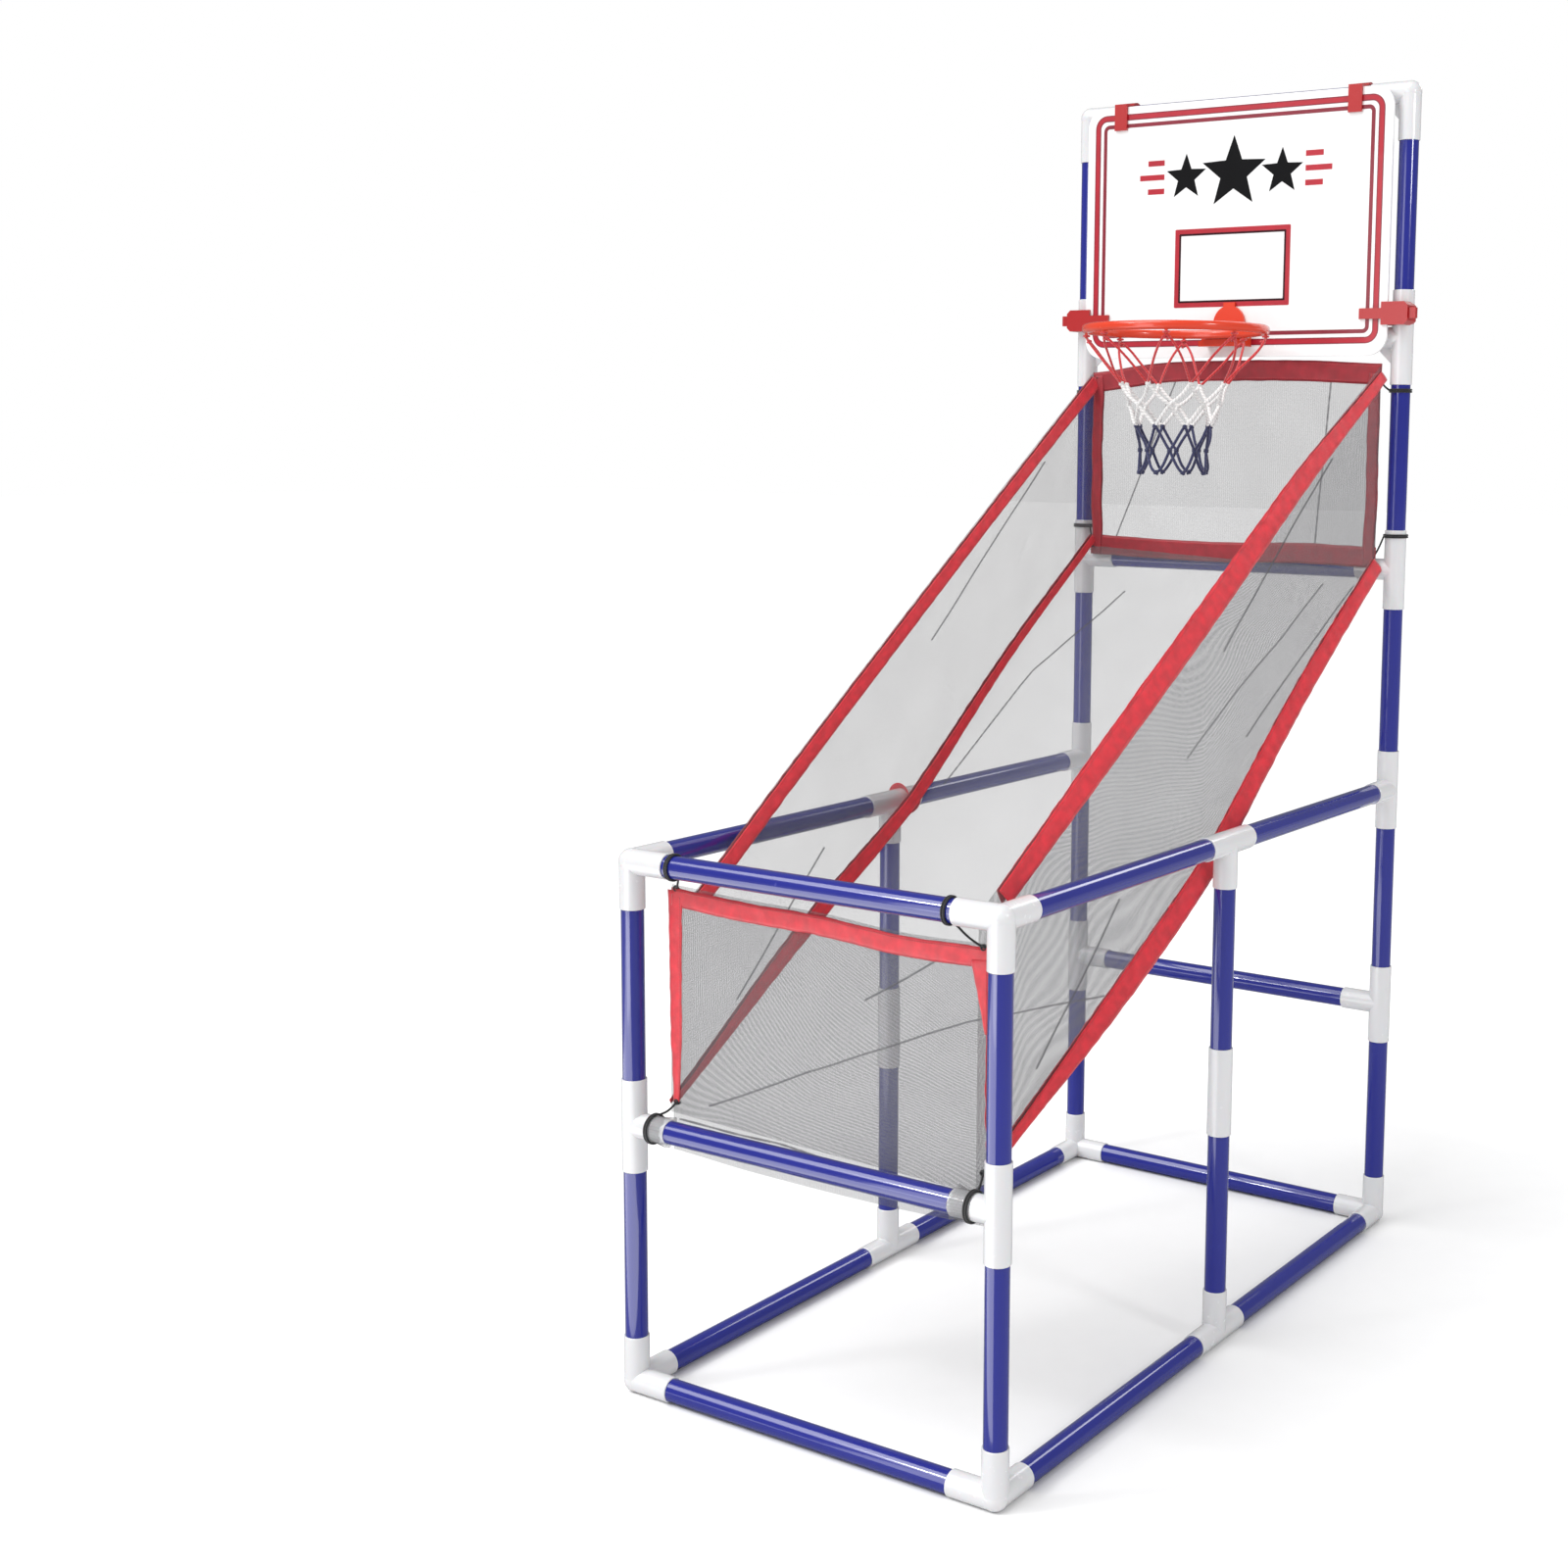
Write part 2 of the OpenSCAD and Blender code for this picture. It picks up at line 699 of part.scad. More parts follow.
// Hem on the top and the two sides of the front panel
module ribbon_front_hem() {
    half = chute_half(-chute_y);
    height = edge_front_z - floor_front_z;
    color(ribbon_red)
        translate([0, -chute_y, floor_front_z]) rotate([90, 0, 0])
            linear_extrude(height = ribbon_t)
                difference() {
                    translate([-half, 0]) square([2 * half, height]);
                    translate([-half + ribbon_w, -over])
                        square([2 * (half - ribbon_w), height - ribbon_w + over]);
                }
}

// Loops that hold the chute's corners on the frame
module elastic_ties() {
    color([0.1, 0.1, 0.1])
        for (side = sides) {
            tie([side * (x_leg - fit_r - 2 * tie_margin), -y_bay, z_low], "+x", fit_r);
            tie([side * (x_leg - arm - tie_margin), -y_bay, z_rail], "+x", tube_r);
            tie([side * x_leg, y_bay, z_mid + arm - tie_margin], "+z", fit_r);
            tie([side * x_leg, y_bay, z_board - gusset_arm - tie_margin], "+z", tube_r);
        }
}

// ---------------------------------------------------------------- nodes

crossbar(-y_bay, z_base);  // base_front_tube
crossbar(y_bay, z_base);  // base_rear_tube
side_tubes(-1, z_base);  // base_left_tubes
side_tubes(1, z_base);  // base_right_tubes
leg_tubes(-1, -y_bay);  // front_leg_left_tubes
leg_tubes(1, -y_bay);  // front_leg_right_tubes
leg_tubes(-1, 0);  // middle_leg_left_tubes
leg_tubes(1, 0);  // middle_leg_right_tubes
side_tubes(-1, z_rail);  // rail_left_tubes
side_tubes(1, z_rail);  // rail_right_tubes
crossbar(-y_bay, z_low);  // tray_crossbar
crossbar(-y_bay, z_rail);  // front_top_crossbar
upright_tubes(-1);  // upright_left_tubes
upright_tubes(1);  // upright_right_tubes
crossbar(y_bay, z_low);  // rear_low_crossbar
crossbar(y_bay, z_mid);  // rear_middle_crossbar
crossbar(y_bay, z_board);  // rear_board_crossbar
crossbar(y_bay, z_top);  // rear_top_crossbar

base_corner(-1, -y_bay, "+y");  // base_corner_front_left
base_corner(1, -y_bay, "+y");  // base_corner_front_right
base_corner(-1, y_bay, "-y");  // base_corner_rear_left
base_corner(1, y_bay, "-y");  // base_corner_rear_right
base_middle_tees();
front_tees();
front_top_corner(-1);  // front_top_corner_left
front_top_corner(1);  // front_top_corner_right
rail_tees();
middle_leg_couplers();
rear_low_tees();
upright_tee(-1, y_bay, z_rail, "-y");  // rear_rail_tee_left
upright_tee(1, y_bay, z_rail, "-y");  // rear_rail_tee_right
upright_tee(-1, y_bay, z_mid, "+x");  // rear_middle_tee_left
upright_tee(1, y_bay, z_mid, "-x");  // rear_middle_tee_right
rear_board_tee(-1);  // rear_board_tee_left
rear_board_tee(1);  // rear_board_tee_right
top_elbow(-1);  // top_elbow_left
top_elbow(1);  // top_elbow_right

backboard();
top_clip(-1);  // top_clip_left
top_clip(1);  // top_clip_right
side_clip(-1);  // side_clip_left
side_clip(1);  // side_clip_right
rim_bracket();
bracket_screws();
rim_pin();
rim();
net_red();
net_white();
net_navy();

mesh_floor();
mesh_back();
mesh_front();
mesh_sides();
ribbon_top_edges();
ribbon_floor_edges();
ribbon_back_hem();
ribbon_front_hem();
elastic_ties();
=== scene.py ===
"""Toy basketball hoop machine: tube frame, backboard, folding rim with a net, and mesh ball return.

Every size is in metres. The tray faces -Y, the backboard stands at +Y and +Z is up.
"""
import logging
import math
from dataclasses import dataclass, field
from enum import Enum
from typing import Callable, Optional, Sequence, Union

import bpy
from mathutils import Matrix, Vector, noise


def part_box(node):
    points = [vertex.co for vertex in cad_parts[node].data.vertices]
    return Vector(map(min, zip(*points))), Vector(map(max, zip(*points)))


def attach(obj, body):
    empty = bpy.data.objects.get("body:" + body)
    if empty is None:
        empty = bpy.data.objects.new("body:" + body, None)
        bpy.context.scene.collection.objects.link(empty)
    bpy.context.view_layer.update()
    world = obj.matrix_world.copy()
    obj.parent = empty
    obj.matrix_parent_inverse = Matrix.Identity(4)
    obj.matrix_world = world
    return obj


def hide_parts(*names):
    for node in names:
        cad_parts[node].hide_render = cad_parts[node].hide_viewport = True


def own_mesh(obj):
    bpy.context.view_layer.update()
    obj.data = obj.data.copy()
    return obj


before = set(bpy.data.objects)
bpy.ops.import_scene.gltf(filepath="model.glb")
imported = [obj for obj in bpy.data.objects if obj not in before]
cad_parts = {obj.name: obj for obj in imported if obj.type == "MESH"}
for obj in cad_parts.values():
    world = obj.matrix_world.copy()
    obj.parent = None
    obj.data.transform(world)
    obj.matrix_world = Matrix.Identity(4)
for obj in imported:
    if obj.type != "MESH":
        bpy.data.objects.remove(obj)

logging.basicConfig(level=logging.INFO, format="%(message)s")
log = logging.getLogger("hoop")

MM = 0.001
TURN = 2 * math.pi
Colour = tuple[float, float, float]
Operand = Union[float, bpy.types.NodeSocket]


class Side(Enum):
    """Which side of the machine a piece is on, seen from the tray."""

    LEFT = -1
    RIGHT = 1


class Draw(Enum):
    """Direction of the fine lines that an extruded part carries, or none on a moulded one."""

    NONE = (1.0, 1.0, 1.0)
    ALONG_X = (0.02, 1.0, 1.0)
    ALONG_Y = (1.0, 0.02, 1.0)
    ALONG_Z = (1.0, 1.0, 0.02)


# ---------------------------------------------------------------- numbers and curves


def mix(a: float, b: float, t: float) -> float:
    """Return the value a share t of the way from a to b."""
    return a + (b - a) * t


def through(stations: Sequence[float], t: float) -> float:
    """Read a smooth curve through evenly spaced stations.

    Args:
        stations: Values at equal steps from t = 0 to t = 1.
        t: Place along the curve.

    Returns:
        The curve's value at t.
    """
    spans = len(stations) - 1
    place = min(max(t, 0.0), 1.0) * spans
    i = min(int(place), spans - 1)
    f = place - i
    before, a, b, after = (stations[min(max(k, 0), spans)] for k in range(i - 1, i + 3))
    slope_a, slope_b = (b - before) / 2, (after - a) / 2
    return ((2 * f**3 - 3 * f**2 + 1) * a + (f**3 - 2 * f**2 + f) * slope_a
            + (3 * f**2 - 2 * f**3) * b + (f**3 - f**2) * slope_b)


def bell(t: float) -> float:
    """Return a bump that is 0 at both ends of 0 to 1 and 1 halfway."""
    return 4 * t * (1 - t)


def fade(t: float, margin: float) -> float:
    """Return 1 well inside 0 to 1, easing to 0 within margin of either end."""
    near = min(t, 1 - t) / margin
    return min(max(near, 0.0), 1.0)


def arc(centre: Vector, across: Vector, up: Vector, radius: float, start: float, end: float,
        count: int) -> list[Vector]:
    """List points along an arc.

    Args:
        centre: Middle of the arc.
        across: Unit direction at angle 0.
        up: Unit direction at a quarter turn.
        radius: Radius of the arc.
        start: First angle in turns.
        end: Last angle in turns.
        count: Number of points.

    Returns:
        The points, both ends included.
    """
    angles = [TURN * mix(start, end, i / (count - 1)) for i in range(count)]
    return [centre + radius * (math.cos(a) * across + math.sin(a) * up) for a in angles]


def resample(path: Sequence[Vector], step: float) -> list[Vector]:
    """Space points evenly along a path.

    Args:
        path: Corner points of the path.
        step: Wanted distance between points.

    Returns:
        Points about a step apart, both ends included.
    """
    lengths = [(b - a).length for a, b in zip(path, path[1:])]
    total = sum(lengths)
    count = max(2, round(total / step))
    result, i, passed = [], 0, 0.0
    for k in range(count + 1):
        wanted = total * k / count
        while i < len(lengths) - 1 and passed + lengths[i] < wanted:
            passed += lengths[i]
            i += 1
        result.append(path[i].lerp(path[i + 1], min((wanted - passed) / lengths[i], 1.0)))
    return result


def smoothed(path: Sequence[Vector], rounds: int = 2) -> list[Vector]:
    """Round a path's corners and keep its two ends."""
    points = list(path)
    for _ in range(rounds):
        cut = [points[0]]
        for a, b in zip(points, points[1:]):
            cut += [a.lerp(b, 0.25), a.lerp(b, 0.75)]
        points = cut + [points[-1]]
    return points


def ripple(place: Vector, scale: float) -> float:
    """Return smooth noise from -1 to 1 whose bumps are about one over scale apart."""
    return noise.noise(place * scale)


# ---------------------------------------------------------------- mesh drafting


@dataclass
class Draft:
    """Points and faces that become one mesh, with texture coordinates in metres."""

    points: list[Vector] = field(default_factory=list)
    faces: list[tuple[int, ...]] = field(default_factory=list)
    corners: list[tuple[float, float]] = field(default_factory=list)
    slots: list[int] = field(default_factory=list)

    def grid(self, rows: Sequence[Sequence[Vector]], across: Sequence[float], along: Sequence[float],
             wrap: bool = False, loop: bool = False, slot: int = 0) -> list[list[int]]:
        """Add a net of four-sided faces.

        Args:
            rows: Points, one list for each row.
            across: Texture coordinate of each column, and one more when the rows wrap.
            along: Texture coordinate of each row, and one more when the rows form a loop.
            wrap: Whether the last column meets the first.
            loop: Whether the last row meets the first.
            slot: Material slot of the faces.

        Returns:
            The index of every point, row by row.
        """
        width = len(rows[0])
        index = [[len(self.points) + i * width + j for j in range(width)] for i in range(len(rows))]
        for row in rows:
            self.points.extend(row)
        for i in range(len(rows) if loop else len(rows) - 1):
            for j in range(width if wrap else width - 1):
                i2, j2 = (i + 1) % len(rows), (j + 1) % width
                self.faces.append((index[i][j], index[i][j2], index[i2][j2], index[i2][j]))
                self.corners += [(across[j], along[i]), (across[j + 1], along[i]),
                                 (across[j + 1], along[i + 1]), (across[j], along[i + 1])]
                self.slots.append(slot)
        return index

    def lid(self, ring: Sequence[int], slot: int = 0) -> None:
        """Close a ring of points with one face."""
        self.faces.append(tuple(ring))
        self.corners += [(0.0, 0.0)] * len(ring)
        self.slots.append(slot)

    def sweep(self, path: Sequence[Vector], section: Callable[[float, Vector, Vector], list[Vector]],
              across: Sequence[float], facing: Optional[Vector] = None, turning: bool = False,
              loop: bool = False, slot: int = 0) -> None:
        """Carry a closed section along a path and close both ends.

        Args:
            path: Points of the centre line.
            section: Offsets of the section at a distance along the path, given its two axes.
            across: Texture coordinate around the section, one more than its points.
            facing: Direction that the section's first axis keeps to, or None for any.
            turning: Whether the section only starts at that direction and then follows the bends.
            loop: Whether the path is a closed loop.
            slot: Material slot of the faces.
        """
        count = len(path)
        normal = facing
        rows, along, passed = [], [], 0.0
        for i, point in enumerate(path):
            after = path[(i + 1) % count] if loop else path[min(i + 1, count - 1)]
            before = path[i - 1] if loop or i else path[0]
            tangent = (after - before).normalized()
            if normal is None:
                normal = tangent.orthogonal()
            guide = normal if turning or facing is None else facing
            normal = (guide - tangent * guide.dot(tangent)).normalized()
            rows.append([point + offset for offset in section(passed, normal, tangent.cross(normal))])
            along.append(passed)
            passed += (after - point).length
        if loop:
            along.append(passed)
        index = self.grid(rows, across, along, wrap=True, loop=loop, slot=slot)
        if not loop:
            self.lid(index[0][::-1], slot)
            self.lid(index[-1], slot)

    def cord(self, path: Sequence[Vector], radius: float, sides: int = 8, loop: bool = False,
             slot: int = 0) -> None:
        """Add a round cord along a path.

        Args:
            path: Points of the centre line.
            radius: Radius of the cord.
            sides: Number of sides.
            loop: Whether the cord is a closed ring.
            slot: Material slot of the faces.
        """

        def section(_: float, normal: Vector, side: Vector) -> list[Vector]:
            """Return the cord's round section."""
            return arc(Vector(), normal, side, radius, 0, 1 - 1 / sides, sides)

        self.sweep(path, section, [k / sides for k in range(sides + 1)], loop=loop, slot=slot)

    def build(self, name: str, finishes: Sequence[bpy.types.Material], body: str,
              sharp: Optional[float] = None) -> bpy.types.Object:
        """Make the mesh object and let it ride on a body.

        Args:
            name: Name of the piece.
            finishes: Materials, in the order of the slots.
            body: Body that carries the piece.
            sharp: Angle in degrees past which an edge is sharp, or None for all smooth.

        Returns:
            The new object.
        """
        mesh = bpy.data.meshes.new(name)
        mesh.from_pydata([tuple(p) for p in self.points], [], self.faces)
        layer = mesh.uv_layers.new(name="Cloth")
        layer.data.foreach_set("uv", [value for corner in self.corners for value in corner])
        mesh.polygons.foreach_set("material_index", self.slots)
        for finish in finishes:
            mesh.materials.append(finish)
        mesh.shade_smooth()
        if sharp is not None:
            mesh.set_sharp_from_angle(angle=math.radians(sharp))
        mesh.update()
        piece = bpy.data.objects.new(name, mesh)
        bpy.context.scene.collection.objects.link(piece)
        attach(piece, body)
        log.info("%s: %d faces on %s", name, len(self.faces), body)
        return piece


# ---------------------------------------------------------------- shader building


class Wiring:
    """Adds and joins nodes in one node tree."""

    def __init__(self, tree: bpy.types.NodeTree) -> None:
        """Keep the tree that the nodes go into."""
        self.tree = tree

    def add(self, kind: str, sockets: Optional[dict[str, object]] = None,
            **settings: object) -> bpy.types.Node:
        """Add a node.

        Args:
            kind: Type name of the node.
            sockets: Value, or output to join, for each named input.
            settings: Properties of the node.

        Returns:
            The new node.
        """
        node = self.tree.nodes.new(kind)
        for key, value in settings.items():
            setattr(node, key, value)
        for key, value in (sockets or {}).items():
            self.feed(node.inputs[key], value)
        return node

    def feed(self, socket: bpy.types.NodeSocket, value: object) -> None:
        """Join an output to a socket, or set the socket's own value."""
        if isinstance(value, bpy.types.NodeSocket):
            self.tree.links.new(value, socket)
        else:
            socket.default_value = value

    def math(self, operation: str, *operands: Operand, clamp: bool = False) -> bpy.types.NodeSocket:
        """Return the output of a math node on the given operands."""
        node = self.add("ShaderNodeMath", operation=operation, use_clamp=clamp)
        for socket, value in zip(node.inputs, operands):
            self.feed(socket, value)
        return node.outputs[0]

    def spread(self, value: bpy.types.NodeSocket, low: float, high: float,
               start: float = 0.0, end: float = 1.0) -> bpy.types.NodeSocket:
        """Return a value remapped from start..end to low..high, with no overshoot."""
        node = self.add("ShaderNodeMapRange", {"Value": value, "From Min": start, "From Max": end,
                                               "To Min": low, "To Max": high})
        return node.outputs["Result"]

    def noise(self, vector: bpy.types.NodeSocket, scale: Operand,
              detail: float = 3.0) -> bpy.types.NodeSocket:
        """Return the value of a noise texture."""
        node = self.add("ShaderNodeTexNoise", {"Vector": vector, "Scale": scale, "Detail": detail})
        return node.outputs["Fac"]

    def blend(self, amount: Operand, first: object, second: object,
              blend_type: str = "MIX") -> bpy.types.NodeSocket:
        """Return two colours blended by an amount."""
        node = self.add("ShaderNodeMix", data_type="RGBA", blend_type=blend_type)
        for socket, value in ((node.inputs[0], amount), (node.inputs[6], first), (node.inputs[7], second)):
            self.feed(socket, value)
        return node.outputs[2]

    def split(self, vector: bpy.types.NodeSocket) -> tuple[bpy.types.NodeSocket, bpy.types.NodeSocket]:
        """Return the first two parts of a vector."""
        node = self.add("ShaderNodeSeparateXYZ", {"Vector": vector})
        return node.outputs[0], node.outputs[1]


def new_group(name: str, inputs: dict[str, str], outputs: dict[str, str]) -> tuple[Wiring, object, object]:
    """Start a shader node group.

    Args:
        name: Name of the group.
        inputs: Kind of each named input.
        outputs: Kind of each named output.

    Returns:
        The wiring of the group, the outputs of its input node and the inputs of its output node.
    """
    tree = bpy.data.node_groups.new(name, "ShaderNodeTree")
    for in_out, sockets in (("INPUT", inputs), ("OUTPUT", outputs)):
        for key, kind in sockets.items():
            tree.interface.new_socket(name=key, in_out=in_out, socket_type=f"NodeSocket{kind}")
    wiring = Wiring(tree)
    return wiring, wiring.add("NodeGroupInput").outputs, wiring.add("NodeGroupOutput").inputs


def mould_group() -> bpy.types.NodeTree:
    """Build the group for plastic: uneven tone, faint scuffs and the tool's fine grain.

    Returns:
        The group, with a Color, a Roughness and a Height output.
    """
    w, given, result = new_group(
        "Moulded Plastic",
        {"Vector": "Vector", "Color": "Color", "Lines": "Vector", "Grain Scale": "Float",
         "Tone Spread": "Float", "Gloss": "Float", "Scuffs": "Float"},
        {"Color": "Color", "Roughness": "Float", "Height": "Float"})
    stretched = w.add("ShaderNodeVectorMath", operation="MULTIPLY")
    w.feed(stretched.inputs[0], given["Vector"])
    w.feed(stretched.inputs[1], given["Lines"])
    grain = w.noise(stretched.outputs[0], given["Grain Scale"], 2.0)
    cloud = w.noise(given["Vector"], 9.0, 2.0)
    speck = w.spread(w.noise(given["Vector"], 160.0, 4.0), 0.0, 1.0, 0.62, 0.72)
    scuff = w.math("MULTIPLY", speck, w.spread(w.noise(given["Vector"], 14.0), 0.0, 1.0, 0.5, 0.75))
    worn = w.math("MULTIPLY", scuff, given["Scuffs"])
    lift = w.math("MULTIPLY", w.math("SUBTRACT", cloud, 0.5), given["Tone Spread"])
    tone = w.math("ADD", w.math("ADD", 1.0, lift), w.math("MULTIPLY", worn, 0.25))
    shade = w.add("ShaderNodeVectorMath", operation="SCALE")
    w.feed(shade.inputs[0], given["Color"])
    w.feed(shade.inputs["Scale"], tone)
    w.feed(result["Color"], shade.outputs[0])
    rough = w.math("ADD", given["Gloss"], w.math("MULTIPLY", cloud, 0.08))
    w.feed(result["Roughness"], w.math("ADD", rough, w.math("MULTIPLY", worn, 0.35), clamp=True))
    w.feed(result["Height"], w.math("SUBTRACT", grain, w.math("MULTIPLY", worn, 0.4)))
    return w.tree


def knit_group() -> bpy.types.NodeTree:
    """Build the group for the knitted mesh: threads around small holes, with denser wales, and painted
    shading across each thread.

    Returns:
        The group, with a Cover, a Tone and a Height output.
    """
    w, given, result = new_group(
        "Knitted Mesh", {"Vector": "Vector", "Pitch": "Float", "Open": "Float", "Seam": "Float"},
        {"Cover": "Float", "Tone": "Float", "Height": "Float"})
    drift_scale, cloud_scale, grain_scale = 12.0, 14.0, 420.0
    drift_reach = 0.5 * MM
    wale_step, wale_sharpness, wale_weight = 3.0, 10.0, 0.1
    u, v = w.split(given["Vector"])
    stray = w.math("SUBTRACT", w.noise(given["Vector"], drift_scale, 1.0), 0.5)
    drift = w.math("MULTIPLY", stray, drift_reach)
    across = w.math("DIVIDE", w.math("MULTIPLY", w.math("ADD", u, drift), math.pi), given["Pitch"])
    along = w.math("DIVIDE", w.math("MULTIPLY", w.math("ADD", v, drift), math.pi), given["Pitch"])
    hole = w.math("MULTIPLY", w.math("ABSOLUTE", w.math("SINE", across)),
                  w.math("ABSOLUTE", w.math("SINE", along)))
    thread = w.math("SUBTRACT", 1.0, w.math("DIVIDE", hole, given["Open"], clamp=True))
    ridge = w.math("ABSOLUTE", w.math("SINE", w.math("DIVIDE", across, wale_step)))
    wale = w.math("POWER", ridge, wale_sharpness)
    cloud = w.math("MULTIPLY", w.spread(w.noise(given["Vector"], cloud_scale, 3.0), 0.94, 1.06, 0.3, 0.7),
                   w.spread(w.noise(given["Vector"], grain_scale, 1.0), 0.9, 1.1, 0.3, 0.7))
    cover = w.math("ADD", w.math("MULTIPLY", thread, cloud), w.math("MULTIPLY", wale, wale_weight))
    w.feed(result["Cover"], w.math("ADD", cover, given["Seam"], clamp=True))
    # Tone: painted shading, lighter along each thread's middle and darker towards the holes, times a random
    # cloud.
    w.feed(result["Tone"], w.math("MULTIPLY", thread, cloud))
    w.feed(result["Height"], thread)
    return w.tree


def stitch_group() -> bpy.types.NodeTree:
    """Build the group for a row of stitches at a distance from the edge.

    Returns:
        The group, with a Mask and a Height output.
    """
    w, given, result = new_group(
        "Stitch Row", {"Vector": "Vector", "Width": "Float", "Inset": "Float", "Pitch": "Float"},
        {"Mask": "Float", "Height": "Float"})
    u, v = w.split(given["Vector"])
    edge = w.math("PINGPONG", u, given["Width"])
    off = w.math("ABSOLUTE", w.math("SUBTRACT", edge, given["Inset"]))
    line = w.spread(off, 1.0, 0.0, 0.25 * MM, 0.7 * MM)
    along = w.math("DIVIDE", w.math("MULTIPLY", v, math.pi), given["Pitch"])
    step = w.math("ABSOLUTE", w.math("SINE", along))
    mask = w.math("MULTIPLY", line, w.spread(step, 0.0, 1.0, 0.25, 0.5))
    w.feed(result["Mask"], mask)
    w.feed(result["Height"], w.math("MULTIPLY", mask, step))
    return w.tree


def strand_group() -> bpy.types.NodeTree:
    """Build the group for twisted or braided cord, on coordinates around and along it; its tone is darker in
    the grooves between strands, which is painted shade.

    Returns:
        The group, with a Tone and a Height output.
    """
    w, given, result = new_group(
        "Twisted Strands", {"Vector": "Vector", "Pitch": "Float", "Strands": "Float"},
        {"Tone": "Float", "Height": "Float"})
    u, v = w.split(given["Vector"])
    turn = w.math("ADD", w.math("MULTIPLY", u, given["Strands"]), w.math("DIVIDE", v, given["Pitch"]))
    rope = w.math("ABSOLUTE", w.math("SINE", w.math("MULTIPLY", turn, math.pi)))
    fuzz = w.noise(given["Vector"], 900.0, 2.0)
    w.feed(result["Height"], w.math("ADD", rope, w.math("MULTIPLY", fuzz, 0.25)))
    # Tone: painted shade, darker in the grooves between the strands, times a random fuzz.
    w.feed(result["Tone"], w.math("MULTIPLY", w.spread(rope, 0.72, 1.0), w.spread(fuzz, 0.85, 1.1)))
    return w.tree


def satin_group() -> bpy.types.NodeTree:
    """Build the group for woven ribbon: fine ribs across it with painted shade in the valleys between them,
    and a soft uneven tone.

    Returns:
        The group, with a Tone and a Height output.
    """
    w, given, result = new_group(
        "Satin Ribbon", {"Vector": "Vector", "Rib": "Float"}, {"Tone": "Float", "Height": "Float"})
    u, v = w.split(given["Vector"])
    rib = w.math("ABSOLUTE", w.math("SINE", w.math("DIVIDE", w.math("MULTIPLY", v, math.pi), given["Rib"])))
    weft = w.math("ABSOLUTE", w.math("SINE", w.math("DIVIDE", w.math("MULTIPLY", u, math.pi), given["Rib"])))
    cloud = w.noise(given["Vector"], 70.0, 3.0)
    w.feed(result["Height"], w.math("ADD", rib, w.math("MULTIPLY", weft, 0.4)))
    # Tone: painted shade in the valleys between the ribs, times a random cloud.
    w.feed(result["Tone"], w.math("MULTIPLY", w.spread(rib, 0.86, 1.0), w.spread(cloud, 0.8, 1.15, 0.3, 0.7)))
    return w.tree


class Effects:
    """The shared node groups, each built once."""

    def __init__(self) -> None:
        """Build every group."""
        self.mould = mould_group()
        self.knit = knit_group()
        self.stitch = stitch_group()
        self.strand = strand_group()
        self.satin = satin_group()


def new_material(name: str) -> tuple[bpy.types.Material, Wiring, bpy.types.Node]:
    """Start a node material.

    Args:
        name: Name of the material.

    Returns:
        The material, its wiring and its Principled BSDF node.
    """
    material = bpy.data.materials.new(name)
    material.use_nodes = True
    wiring = Wiring(material.node_tree)
    return material, wiring, material.node_tree.nodes["Principled BSDF"]


def set_bump(wiring: Wiring, shader: bpy.types.Node, height: bpy.types.NodeSocket,
             depth: float, strength: float) -> None:
    """Feed a shader's normal from a height.

    Args:
        wiring: Wiring of the material.
        shader: Principled BSDF node.
        height: Height from 0 to 1.
        depth: Real height of 1 in metres.
        strength: Strength of the effect.
    """
    bump = wiring.add("ShaderNodeBump", {"Height": height, "Distance": depth, "Strength": strength})
    wiring.feed(shader.inputs["Normal"], bump.outputs["Normal"])


def scaled(wiring: Wiring, colour: Colour, tone: bpy.types.NodeSocket) -> bpy.types.NodeSocket:
    """Return a colour multiplied by a varying tone."""
    node = wiring.add("ShaderNodeVectorMath", operation="SCALE")
    node.inputs[0].default_value = colour
    wiring.feed(node.inputs["Scale"], tone)
    return node.outputs[0]


@dataclass(frozen=True)
class PlasticFinish:
    """Moulded or extruded plastic."""

    name: str
    colour: Colour
    gloss: float = 0.2
    coat: float = 0.3
    grain_scale: float = 420.0
    grain_depth: float = 0.03 * MM
    tone_spread: float = 0.12
    scuffs: float = 0.5
    draw: Draw = Draw.NONE
    glow_depth: float = 0.0

    def material(self, effects: Effects) -> bpy.types.Material:
        """Build the material from the shared groups."""
        material, w, shader = new_material(self.name)
        place = w.add("ShaderNodeTexCoord").outputs["Object"]
        mould = w.add("ShaderNodeGroup", node_tree=effects.mould)
        for key, value in (("Vector", place), ("Color", (*self.colour, 1.0)), ("Lines", self.draw.value),
                           ("Grain Scale", self.grain_scale), ("Tone Spread", self.tone_spread),
                           ("Gloss", self.gloss), ("Scuffs", self.scuffs)):
            w.feed(mould.inputs[key], value)
        w.feed(shader.inputs["Base Color"], mould.outputs["Color"])
        w.feed(shader.inputs["Roughness"], mould.outputs["Roughness"])
        shader.inputs["Coat Weight"].default_value = self.coat
        shader.inputs["Coat Roughness"].default_value = 0.06
        shader.inputs["Subsurface Weight"].default_value = self.glow_depth
        shader.inputs["Subsurface Scale"].default_value = 2 * MM
        set_bump(w, shader, mould.outputs["Height"], self.grain_depth, 0.35)
        return material


